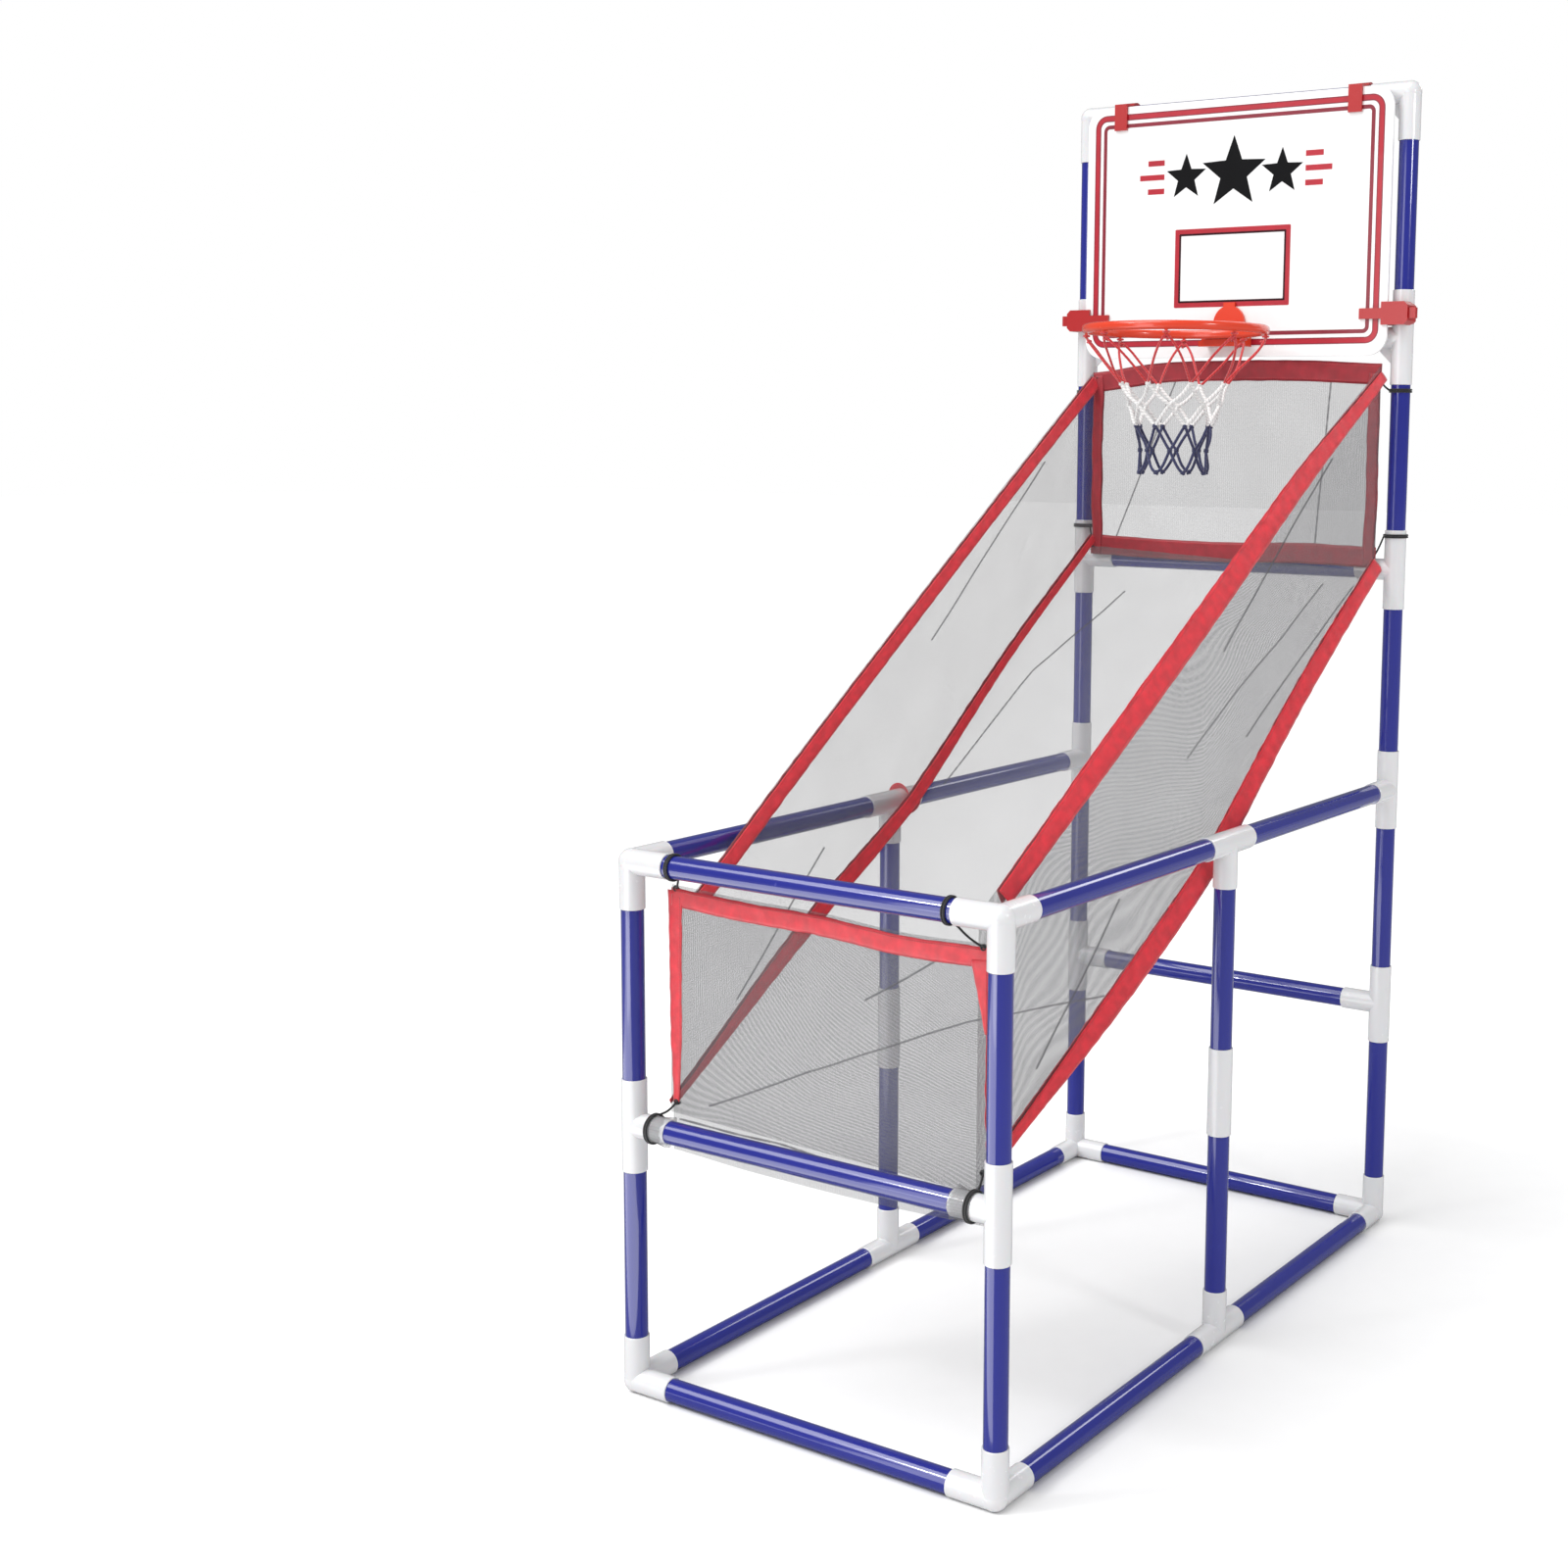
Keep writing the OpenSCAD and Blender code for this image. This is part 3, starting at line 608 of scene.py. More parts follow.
@dataclass(frozen=True)
class InkFinish:
    """Screen-printed ink on the board."""

    name: str
    colour: Colour
    roughness: float = 0.32
    coat: float = 0.2
    specular: float = 0.5

    def material(self, effects: Effects) -> bpy.types.Material:
        """Build the material: ink with a faint screen texture and small pinholes."""
        material, w, shader = new_material(self.name)
        place = w.add("ShaderNodeTexCoord").outputs["Object"]
        cloud = w.spread(w.noise(place, 45.0), 0.9, 1.08, 0.3, 0.7)
        shader.inputs["Coat Weight"].default_value = self.coat
        shader.inputs["Specular IOR Level"].default_value = self.specular
        w.feed(shader.inputs["Base Color"], scaled(w, self.colour, cloud))
        screen = w.noise(place, 1500.0, 1.0)
        w.feed(shader.inputs["Roughness"], w.spread(screen, self.roughness - 0.06, self.roughness + 0.08))
        set_bump(w, shader, screen, 0.02 * MM, 0.3)
        return material


@dataclass(frozen=True)
class CordFinish:
    """Twisted or braided cord."""

    name: str
    colour: Colour
    pitch: float = 5.0 * MM
    strands: float = 2.0
    sheen: float = 0.5
    roughness: float = 0.75

    def material(self, effects: Effects) -> bpy.types.Material:
        """Build the material from the shared groups."""
        material, w, shader = new_material(self.name)
        place = w.add("ShaderNodeUVMap", uv_map="Cloth").outputs["UV"]
        strand = w.add("ShaderNodeGroup", node_tree=effects.strand)
        for key, value in (("Vector", place), ("Pitch", self.pitch), ("Strands", self.strands)):
            w.feed(strand.inputs[key], value)
        # The strand tone darkens the grooves between strands: painted shade.
        w.feed(shader.inputs["Base Color"], scaled(w, self.colour, strand.outputs["Tone"]))
        w.feed(shader.inputs["Roughness"],
               w.spread(strand.outputs["Tone"], self.roughness + 0.1, self.roughness))
        shader.inputs["Sheen Weight"].default_value = self.sheen
        set_bump(w, shader, strand.outputs["Height"], 0.5 * MM, 0.6)
        return material


@dataclass(frozen=True)
class RibbonFinish:
    """Satin ribbon with a row of stitches near each edge."""

    name: str
    colour: Colour
    thread: Colour
    width: float
    inset: float = 3 * MM
    stitch: float = 3.2 * MM
    rib: float = 0.9 * MM

    def material(self, effects: Effects) -> bpy.types.Material:
        """Build the material from the shared groups."""
        material, w, shader = new_material(self.name)
        place = w.add("ShaderNodeUVMap", uv_map="Cloth").outputs["UV"]
        satin = w.add("ShaderNodeGroup", node_tree=effects.satin)
        w.feed(satin.inputs["Vector"], place)
        w.feed(satin.inputs["Rib"], self.rib)
        rows = []
        for inset in (self.inset, self.width - self.inset):
            row = w.add("ShaderNodeGroup", node_tree=effects.stitch)
            for key, value in (("Vector", place), ("Width", self.width), ("Inset", inset),
                               ("Pitch", self.stitch)):
                w.feed(row.inputs[key], value)
            rows.append(row)
        mask = w.math("MAXIMUM", rows[0].outputs["Mask"], rows[1].outputs["Mask"])
        lift = w.math("MAXIMUM", rows[0].outputs["Height"], rows[1].outputs["Height"])
        # The satin tone carries painted shade between the ribs.
        cloth = scaled(w, self.colour, satin.outputs["Tone"])
        w.feed(shader.inputs["Base Color"], w.blend(mask, cloth, (*self.thread, 1.0)))
        w.feed(shader.inputs["Roughness"], w.spread(satin.outputs["Tone"], 0.5, 0.34))
        shader.inputs["Sheen Weight"].default_value = 0.3
        shader.inputs["Anisotropic"].default_value = 0.4
        weave = w.math("ADD", w.math("MULTIPLY", satin.outputs["Height"], 0.25), lift)
        set_bump(w, shader, weave, 0.5 * MM, 0.6)
        return material


@dataclass(frozen=True)
class MeshFinish:
    """See-through knitted mesh of dark thread."""

    name: str
    colour: Colour
    pitch: float = 0.95 * MM
    open_share: float = 0.64
    seam: float = 0.0

    def material(self, effects: Effects) -> bpy.types.Material:
        """Build the material from the shared groups."""
        material, w, shader = new_material(self.name)
        place = w.add("ShaderNodeUVMap", uv_map="Cloth").outputs["UV"]
        knit = w.add("ShaderNodeGroup", node_tree=effects.knit)
        for key, value in (("Vector", place), ("Pitch", self.pitch), ("Open", self.open_share),
                           ("Seam", self.seam)):
            w.feed(knit.inputs[key], value)
        # Painted shading: each thread is lighter in its middle and darker towards the holes; the cloud part
        # is random tone.
        tone = w.spread(knit.outputs["Tone"], 0.8, 1.2)
        w.feed(shader.inputs["Base Color"], scaled(w, self.colour, tone))
        w.feed(shader.inputs["Alpha"], knit.outputs["Cover"])
        w.feed(shader.inputs["Roughness"], w.spread(knit.outputs["Tone"], 0.95, 0.8))
        shader.inputs["Specular IOR Level"].default_value = 0.2
        set_bump(w, shader, knit.outputs["Height"], 0.15 * MM, 0.15)
        return material


@dataclass(frozen=True)
class SteelFinish:
    """Zinc-plated steel with fine brushing."""

    name: str
    colour: Colour = (0.62, 0.63, 0.64)

    def material(self, effects: Effects) -> bpy.types.Material:
        """Build the material from the shared groups."""
        material, w, shader = new_material(self.name)
        place = w.add("ShaderNodeTexCoord").outputs["Object"]
        mould = w.add("ShaderNodeGroup", node_tree=effects.mould)
        for key, value in (("Vector", place), ("Color", (*self.colour, 1.0)),
                           ("Lines", Draw.ALONG_X.value), ("Grain Scale", 1500.0),
                           ("Tone Spread", 0.2), ("Gloss", 0.26), ("Scuffs", 0.6)):
            w.feed(mould.inputs[key], value)
        shader.inputs["Metallic"].default_value = 1.0
        w.feed(shader.inputs["Base Color"], mould.outputs["Color"])
        w.feed(shader.inputs["Roughness"], mould.outputs["Roughness"])
        set_bump(w, shader, mould.outputs["Height"], 0.02 * MM, 0.3)
        return material


class Finishes:
    """Every material of the machine, built once and looked up by name."""

    def __init__(self) -> None:
        """Build the materials."""
        effects = Effects()
        blue, white = (0.015, 0.021, 0.245), (0.72, 0.72, 0.735)
        ribbon, thread = (0.72, 0.013, 0.030), (0.46, 0.010, 0.020)
        # deep: the ribbon red darkened as painted shade, for the back hems that sit in shade behind the side
        # mesh
        deep = (0.34, 0.006, 0.018)
        charcoal = (0.150, 0.150, 0.158)
        made = [
            *(PlasticFinish(f"tube_blue_{draw.name.lower()}", blue, gloss=0.10, coat=0.9, draw=draw,
                            grain_depth=0.05 * MM, tone_spread=0.16)
              for draw in (Draw.ALONG_X, Draw.ALONG_Y, Draw.ALONG_Z)),
            PlasticFinish("fitting_white", white, gloss=0.2, coat=0.5, tone_spread=0.04, glow_depth=0.1),
            PlasticFinish("board_white", (0.90, 0.90, 0.90), gloss=0.22, coat=0.4, tone_spread=0.02),
            PlasticFinish("clip_red", (0.43, 0.012, 0.014), gloss=0.26),
            PlasticFinish("rim_red", (0.72, 0.052, 0.018), gloss=0.2, coat=0.5),
            InkFinish("ink_red", (0.44, 0.006, 0.022)),
            InkFinish("ink_maroon", (0.24, 0.008, 0.026)),
            InkFinish("ink_edge", (0.030, 0.004, 0.008), coat=0.0, specular=0.2),
            InkFinish("ink_black", (0.004, 0.004, 0.005), roughness=0.6, coat=0.0, specular=0.12),
            CordFinish("net_red", (0.66, 0.02, 0.025)),
            CordFinish("net_white", (0.90, 0.90, 0.89)),
            CordFinish("net_navy", (0.022, 0.028, 0.11)),
            CordFinish("elastic_black", (0.014, 0.014, 0.016), pitch=2 * MM, strands=6, sheen=0.2),
            RibbonFinish("ribbon_red", ribbon, thread, 26 * MM),
            RibbonFinish("ribbon_slim", ribbon, thread, 15 * MM),
            # The two back ribbons carry painted shade in the darkened red.
            RibbonFinish("ribbon_back", deep, thread, 26 * MM),
            RibbonFinish("ribbon_back_slim", deep, thread, 15 * MM),
            MeshFinish("mesh_grey", charcoal),
            MeshFinish("mesh_doubled", (0.10, 0.10, 0.108), seam=0.3),
            SteelFinish("screw_steel"),
        ]
        self.made = {finish.name: finish.material(effects) for finish in made}

    def __getitem__(self, name: str) -> bpy.types.Material:
        """Return a material by its name."""
        return self.made[name]


# ---------------------------------------------------------------- the tube frame and other hard parts


@dataclass
class HardParts:
    """The parts whose true shape is in the frame already: they get their finishes here."""

    finishes: Finishes
    crease: float = 34.0

    def finish_of(self, node: str) -> str:
        """Return the name of the finish that a node takes."""
        for word, finish in (("tubes", "tube"), ("crossbar", "tube"), ("_tube", "tube"),
                             ("backboard", "board_white"), ("clip", "clip_red"), ("screws", "screw_steel"),
                             ("pin", "screw_steel"), ("rim", "rim_red")):
            if word in node:
                return finish if finish != "tube" else self.tube_finish(node)
        return "fitting_white"

    def tube_finish(self, node: str) -> str:
        """Return the blue finish whose draw lines run along the node's tubes."""
        if "crossbar" in node or node in ("base_front_tube", "base_rear_tube"):
            return "tube_blue_along_x"
        return "tube_blue_along_z" if "leg" in node or "upright" in node else "tube_blue_along_y"

    def dress(self, soft: Sequence[str]) -> None:
        """Give every hard node its finish.

        Args:
            soft: Starts of the names of the nodes that detailed pieces replace.
        """
        for name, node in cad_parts.items():
            if name.startswith(tuple(soft)):
                continue
            finish = self.finish_of(name)
            node.data.materials.clear()
            node.data.materials.append(self.finishes[finish])
            node.data.shade_smooth()
            node.data.set_sharp_from_angle(angle=math.radians(self.crease))
            log.info("%s: %s", name, finish)


# ---------------------------------------------------------------- backboard prints


@dataclass
class BoardPrint:
    """Raised ink on the front of the backboard: border, aim box and a stars-and-stripes motif."""

    finishes: Finishes
    ink: float = 0.25 * MM
    side_margin: float = 11 * MM
    low_margin: float = 14.5 * MM
    top_margin: float = 9.5 * MM
    border_w: float = 8 * MM
    border_gap: float = 4.5 * MM
    border_edge: float = 1.3 * MM
    inner_w: float = 5 * MM
    corner_r: float = 17 * MM
    aim_w: float = 164 * MM
    aim_h: float = 100 * MM
    aim_low: float = 64 * MM
    aim_line: float = 6 * MM
    aim_edge: float = 2.6 * MM
    motif_rise: float = 232 * MM
    star_r: float = 47 * MM
    small_star_r: float = 30 * MM
    star_gap: float = 68 * MM
    star_drop: float = 2 * MM
    stripe_start: float = 100 * MM
    stripe_ends: tuple[float, ...] = (124 * MM, 136 * MM, 124 * MM)
    stripe_pitch: float = 18 * MM
    stripe_h: float = 7 * MM

    def outline(self, left: float, right: float, low: float, high: float, radius: float) -> list[Vector]:
        """List the points of a rectangle with round corners on the board's face."""
        face = self.low.y
        across, up = Vector((1, 0, 0)), Vector((0, 0, 1))
        points = []
        for k, (x, z) in enumerate(((right, high), (left, high), (left, low), (right, low))):
            centre = Vector((x - math.copysign(radius, x), face, z - radius if z == high else z + radius))
            points += arc(centre, across, up, radius, k / 4, (k + 1) / 4, 9)
        return points

    def band(self, draft: Draft, outer: Sequence[Vector], inner: Sequence[Vector], slot: int,
             height: float) -> None:
        """Add a raised band between two outlines of the same number of points."""
        lift = Vector((0, -self.ink * height, 0))
        rows = [list(outer), [p + lift for p in outer], [p + lift for p in inner], list(inner)]
        along = [0.0, self.ink, self.border_w, self.border_w + self.ink]
        across = [k * MM for k in range(len(outer) + 1)]
        draft.grid(rows, across, along, wrap=True, slot=slot)

    def frame_line(self, draft: Draft, box: tuple[float, float, float, float], radius: float,
                   width: float, slot: int, lift: float = 1.0) -> None:
        """Add a raised line inside a rectangle.

        Args:
            draft: Mesh to add to.
            box: Left, right, low and high edge.
            radius: Corner radius of the outer edge.
            width: Width of the line.
            slot: Material slot.
            lift: Height of the line as a multiple of the ink's.
        """
        left, right, low, high = box
        outer = self.outline(left, right, low, high, radius)
        inner = self.outline(left + width, right - width, low + width, high - width,
                             max(radius - width, 0.5 * MM))
        self.band(draft, outer, inner, slot, lift)

    def patch(self, draft: Draft, shape: Sequence[tuple[float, float]], slot: int) -> None:
        """Add a raised flat shape, given as x and z points around its centre point."""
        face = self.low.y
        cx = sum(x for x, _ in shape) / len(shape)
        cz = sum(z for _, z in shape) / len(shape)
        front = [Vector((x, face - self.ink, z)) for x, z in shape]
        back = [Vector((x, face, z)) for x, z in shape]
        across = [k * MM for k in range(len(shape) + 1)]
        index = draft.grid([back, front], across, [0.0, self.ink], wrap=True, slot=slot)
        middle = len(draft.points)
        draft.points.append(Vector((cx, face - self.ink, cz)))
        ring = index[1]
        for j, a in enumerate(ring):
            draft.faces.append((a, ring[(j + 1) % len(ring)], middle))
            draft.corners += [(0.0, 0.0)] * 3
            draft.slots.append(slot)

    def star(self, draft: Draft, x: float, z: float, radius: float, slot: int) -> None:
        """Add a five-pointed star."""
        shape = []
        for k in range(10):
            reach = radius if k % 2 == 0 else radius * 0.42
            angle = TURN * (0.25 + k / 10)
            shape.append((x + reach * math.cos(angle), z + reach * math.sin(angle)))
        self.patch(draft, shape, slot)

    def build(self) -> None:
        """Build the border, the aim box and the motif."""
        self.low, self.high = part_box("backboard")
        right = self.high.x - self.side_margin
        low, high = self.low.z + self.low_margin, self.high.z - self.top_margin
        border = Draft()
        self.frame_line(border, (-right, right, low, high), self.corner_r, self.border_w, 0)
        for inset in (0.0, self.border_w - self.border_edge):
            self.frame_line(border, (inset - right, right - inset, low + inset, high - inset),
                            self.corner_r - inset, self.border_edge, 1, 1.4)
        step = self.border_w + self.border_gap
        self.frame_line(border, (step - right, right - step, low + step, high - step),
                        self.corner_r - step + 4 * MM, self.inner_w, 1)
        border.build("Board_Border", [self.finishes["ink_red"], self.finishes["ink_maroon"]],
                     "backboard_unit", 30)
        aim = Draft()
        half, base = self.aim_w / 2, self.low.z + self.aim_low
        self.frame_line(aim, (-half, half, base, base + self.aim_h), 1.5 * MM, self.aim_line, 0)
        shift = self.aim_line
        self.frame_line(aim, (shift - half, half - shift, base + shift, base + self.aim_h - shift),
                        1 * MM, self.aim_edge, 1)
        aim.build("Board_Aim_Box", [self.finishes["ink_red"], self.finishes["ink_edge"]],
                  "backboard_unit", 30)
        motif = Draft()
        middle = self.low.z + self.motif_rise
        self.star(motif, 0, middle, self.star_r, 0)
        for side in Side:
            self.star(motif, side.value * self.star_gap, middle - self.star_drop, self.small_star_r, 0)
            for k, reach in enumerate(self.stripe_ends):
                z = middle + (k - 1) * self.stripe_pitch - self.stripe_h / 2
                inner, outer = side.value * self.stripe_start, side.value * reach
                shape = [(inner, z), (outer, z), (outer, z + self.stripe_h), (inner, z + self.stripe_h)]
                self.patch(motif, shape if side is Side.RIGHT else shape[::-1], 1)
        motif.build("Board_Motif", [self.finishes["ink_black"], self.finishes["ink_red"]],
                    "backboard_unit", 30)


# ---------------------------------------------------------------- net


@dataclass
class Net:
    """Knotted cord net under the rim, in three coloured bands."""

    finishes: Finishes
    hooks: int = 8
    cord_r: float = 1.6 * MM
    white_r: float = 2.3 * MM
    navy_r: float = 1.9 * MM
    knot_r: float = 2.5 * MM
    knot_cord_r: float = 1.1 * MM
    waist_share: float = 0.86
    bottom_share: float = 0.9
    sway: float = 7 * MM
    keep: float = 0.15

    def point(self, level: float, step: float) -> Vector:
        """Return the place of the net at a level from 0, the hooks, to 5, the bottom edge."""
        angle = TURN * (step + 0.5) / self.hooks
        z, radius = through(self.levels_z, level / 5), through(self.levels_r, level / 5)
        return self.centre + Vector((radius * math.cos(angle), radius * math.sin(angle), z - self.centre.z))

    def strand(self, level: int, step: float, turn: float) -> list[Vector]:
        """List the points of one cord from a knot down to the next level's knot."""
        count = 11
        points = []
        for k in range(count):
            t = k / (count - 1)
            slack = 2 * MM * math.sin(math.pi * t)
            place = self.point(level + t, step + turn * t)
            sway = ripple(Vector((place.x, place.y, level + turn)), 24.0) * self.sway * math.sin(math.pi * t)
            out = Vector((place.x - self.centre.x, place.y - self.centre.y, 0)).normalized()
            points.append(place - Vector((0, 0, slack)) + out * sway)
        return points

    def knot(self, draft: Draft, place: Vector, turns: float = 2.5) -> None:
        """Add a small wound knot at a crossing."""
        count, rise = 26, 2.3 * MM
        up = Vector((0, 0, 1))
        out = Vector((place.x - self.centre.x, place.y - self.centre.y, 0)).normalized()
        side = up.cross(out)
        coil = []
        for k in range(count):
            t = k / (count - 1)
            angle = TURN * turns * t
            reach = self.knot_r * (0.75 + 0.25 * bell(t))
            coil.append(place + reach * (math.cos(angle) * out + math.sin(angle) * side)
                        + up * rise * (1 - 2 * t))
        draft.cord(coil, self.knot_cord_r, 6)

    def hook_loop(self, draft: Draft, step: float) -> None:
        """Add the loop that hangs on a hook."""
        place = self.point(0, step) + Vector((0, 0, 2.4 * MM))
        out = Vector((place.x - self.centre.x, place.y - self.centre.y, 0)).normalized()
        across = Vector((0, 0, 1)).cross(out)
        ring = arc(place, out, across, 3.4 * MM, 0, 1 - 1 / 14, 14)
        draft.cord(ring, 1.3 * MM, 7, loop=True)

    def band(self, name: str, node: str, levels: Sequence[int], radius: float) -> None:
        """Build one coloured band.

        Args:
            name: Name of the piece.
            node: Node of the frame that it replaces, which names its finish too.
            levels: Levels whose cords it holds.
            radius: Radius of its cord.
        """
        draft = Draft()
        for level in levels:
            offset = 0.0 if level % 2 == 0 else 0.5
            for i in range(self.hooks):
                for turn in (-0.5, 0.5):
                    draft.cord(self.strand(level, i + offset, turn), radius)
                if level == 0:
                    self.hook_loop(draft, i)
                    self.knot(draft, self.point(0.12, i), 1.5)
                else:
                    self.knot(draft, self.point(level, i + offset))
                if level == 4:
                    self.knot(draft, self.point(5, i + offset + 0.5))
        piece = draft.build(name, [self.finishes[node]], "rim_unit")
        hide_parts(node)
        tuple(self.centre)
        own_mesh(piece)

    def build(self) -> None:
        """Build the three bands from the frame's sizes."""
        low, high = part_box("rim")
        self.centre = Vector((0, low.y + high.x, low.z))
        red, white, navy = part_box("net_red"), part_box("net_white"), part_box("net_navy")
        top_r, neck_r, mid_r = red[1].x - self.cord_r, white[1].x - self.cord_r, navy[1].x - self.cord_r
        z0, z1, z2, z3 = red[1].z, white[1].z, navy[1].z, navy[0].z
        self.levels_z = [z0, z1, (z1 + z2) / 2, z2, (z2 + z3) / 2, z3 + self.knot_r]
        self.levels_r = [top_r, neck_r, mix(neck_r, mid_r, 0.6), mid_r, mid_r * self.waist_share,
                         mid_r * self.bottom_share]
        self.band("Net_Red", "net_red", [0], self.cord_r)
        self.band("Net_White", "net_white", [1, 2], self.white_r)
        self.band("Net_Navy", "net_navy", [3, 4], self.navy_r)


# ---------------------------------------------------------------- mesh chute


@dataclass
class Ribbon:
    """A puckered ribbon sewn along an edge of the mesh."""

    width: float = 26 * MM
    thick: float = 1.0 * MM
    pucker: float = 1.0 * MM
    wave: float = 15 * MM
    taper: tuple[float, ...] = (1.0, 1.0)
    columns: int = 6
    step: float = 3 * MM

    def add(self, draft: Draft, path: Sequence[Vector], facing: Vector, turning: bool = False) -> float:
        """Sweep the ribbon along a path.

        Args:
            draft: Mesh to add to.
            path: Points of the ribbon's middle line.
            facing: Direction that the ribbon's face looks to.
            turning: Whether the face follows the bends from there.

        Returns:
            The ribbon's length.
        """
        line = resample(smoothed(path), self.step)
        whole = sum((b - a).length for a, b in zip(line, line[1:]))
        seed = Vector((line[0].x * 7, line[0].z * 5, 3))

        def section(passed: float, normal: Vector, side: Vector) -> list[Vector]:
            """Return the ribbon's puckered section at a distance along it."""
            offsets = []
            share = through(self.taper, min(passed / whole, 1.0))
            for face, order in ((1, range(self.columns + 1)), (-1, range(self.columns, -1, -1))):
                for j in order:
                    s = 2 * j / self.columns - 1
                    place = Vector((passed / self.wave, s * 0.7, 0)) + seed
                    waves = ripple(place, 1.0) + 0.35 * ripple(place, 2.3)
                    lift = self.pucker * waves * (0.4 + 0.6 * s * s)
                    wander = 0.6 * self.pucker * ripple(place + Vector((0, 0, 9)), 0.6) * s
                    edge = 1 - 0.55 * s**6
                    offsets.append(normal * (lift + face * self.thick / 2 * edge)
                                   + side * share * (s * self.width / 2 + wander))
            return offsets

        span = self.width / self.columns
        across = [j * span for j in range(self.columns + 1)]
        across += [self.width + j * span for j in range(self.columns + 1)]
        across.append(2 * self.width)
        draft.sweep(line, section, across, facing=facing, turning=turning)
        return whole


@dataclass
class Chute:
    """Mesh ball return: floor, sides, back and front panels, their ribbon hems and elastic ties."""

    finishes: Finishes
    floor_sag: float = 12 * MM
    wrinkle: float = 2.2 * MM
    billow: float = 3 * MM
    tray_tie_in: float = 27.8 * MM
    top_tie_in: float = 56.7 * MM
    back_tie_up: float = 41.3 * MM
    floor_slack: dict[Side, tuple[float, ...]] = field(default_factory=lambda: {
        Side.LEFT: (-8 * MM, 9 * MM, 8 * MM, 26 * MM, 26 * MM),
        Side.RIGHT: (-18 * MM, -28 * MM, -28 * MM, -1 * MM, 6 * MM)})
    edge_slack: dict[Side, tuple[float, ...]] = field(default_factory=lambda: {
        Side.LEFT: (-46 * MM, -30 * MM, -17 * MM, -6 * MM, 2 * MM),
        Side.RIGHT: (14 * MM, 15 * MM, 15 * MM, 18 * MM, 6 * MM)})
    front_slack: tuple[float, ...] = (-4 * MM, -8 * MM, -9 * MM, -15 * MM, -13 * MM)
    front_reach: tuple[float, float] = (-187 * MM, 202 * MM)
    front_lean: float = 7 * MM
    apron_slack: tuple[float, ...] = (0.0, -4 * MM, -5 * MM, -4 * MM, 0.0)
    hem_slack: tuple[float, ...] = (4 * MM, 1 * MM, 0.0, 3 * MM, 1 * MM)
    crown_slack: tuple[float, ...] = (0.0, 12 * MM, 14 * MM, 13 * MM, 8 * MM)

    def __post_init__(self) -> None:
        """Read the chute's sizes from the frame."""
        floor, back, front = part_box("mesh_floor"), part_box("mesh_back"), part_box("mesh_front")
        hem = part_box("ribbon_back_hem")
        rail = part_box("rail_left_tubes")
        self.y_front, self.y_back = floor[0].y, floor[1].y
        self.half_front, self.half_back = front[1].x, back[1].x
        self.floor_front = floor[0].z
        self.floor_middle = (rail[0].z + rail[1].z) / 2 - 16 * MM
        self.floor_back = floor[1].z
        self.edge_front, self.edge_back = front[1].z, hem[1].z
        self.hem_low, self.apron_low = hem[0].z, front[0].z
        self.ribbon_w, self.front_w, self.slim_w, self.narrow_w = 26 * MM, 20 * MM, 18 * MM, 15 * MM

    def station(self, t: float) -> tuple[float, float]:
        """Return y and the half width at a share t of the way from the front to the back."""
        return mix(self.y_front, self.y_back, t), mix(self.half_front, self.half_back, t)

    def floor_edge(self, side: Side, t: float) -> Vector:
        """Return a point on the seam between the floor and a side."""
        y, half = self.station(t)
        level = mix(self.floor_front, self.floor_middle, 2 * t) if t < 0.5 else \
            mix(self.floor_middle, self.floor_back, 2 * t - 1)
        return Vector((side.value * half, y, level + through(self.floor_slack[side], t)))

    def top_edge(self, side: Side, t: float) -> Vector:
        """Return a point on a side's top edge."""
        y, half = self.station(t)
        level = mix(self.edge_front, self.edge_back, t)
        return Vector((side.value * half, y, level + through(self.edge_slack[side], t)))

    def crumple(self, place: Vector, s: float, t: float) -> float:
        """Return the height of the fabric's soft folds at a place, fading towards its edges."""
        broad = ripple(Vector((place.x * 4, place.y * 2.2, place.z * 2.2)), 2.2)
        folds = ripple(Vector((place.x * 9 + place.z * 7, place.y * 3, place.z * 3)), 2.6)
        return self.wrinkle * (broad + 0.5 * folds) * fade(s, 0.16) * fade(t, 0.08)

    def panel(self, name: str, node: str, place: Callable[[float, float], Vector], across: int, along: int,
              flat: tuple[float, float],
              creases: Sequence[Sequence[tuple[float, float]]] = ()) -> None:
        """Build one mesh panel.

        Args:
            name: Name of the piece.
            node: Node of the frame that it replaces.
            place: Point of the panel at its two shares from 0 to 1.
            across: Number of cells across.
            along: Number of cells along.
            flat: Size of the panel when laid flat.
            creases: Lines of doubled mesh, as points in the panel's two shares.
        """
        draft = Draft()
        rows = [[place(j / across, i / along) for j in range(across + 1)] for i in range(along + 1)]
        draft.grid(rows, [flat[0] * j / across for j in range(across + 1)],
                   [flat[1] * i / along for i in range(along + 1)])
        for line in creases:
            self.crease(draft, place, line)
        piece = draft.build(name, [self.finishes["mesh_grey"], self.finishes["mesh_doubled"]], "frame")
        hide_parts(node)

    def crease(self, draft: Draft, place: Callable[[float, float], Vector],
               line: Sequence[tuple[float, float]]) -> None:
        """Add a narrow strip of doubled mesh along a line on a panel."""
        width, count = 2.2 * MM, 40
        points = []
        for k in range(count + 1):
            t = k / count * (len(line) - 1)
            i = min(int(t), len(line) - 2)
            a, b = line[i], line[i + 1]
            points.append(place(mix(a[0], b[0], t - i), mix(a[1], b[1], t - i)))
        rows = []
        for k, point in enumerate(points):
            ahead = points[min(k + 1, count)] - points[max(k - 1, 0)]
            side = ahead.cross(Vector((0.3, -0.9, 0.3))).normalized() * width / 2
            rows.append([point - side, point + side])
        draft.grid(rows, [0.0, width], [k * 5 * MM for k in range(count + 1)], slot=1)

    def build_floor(self) -> None:
        """Build the floor panel that balls roll down."""

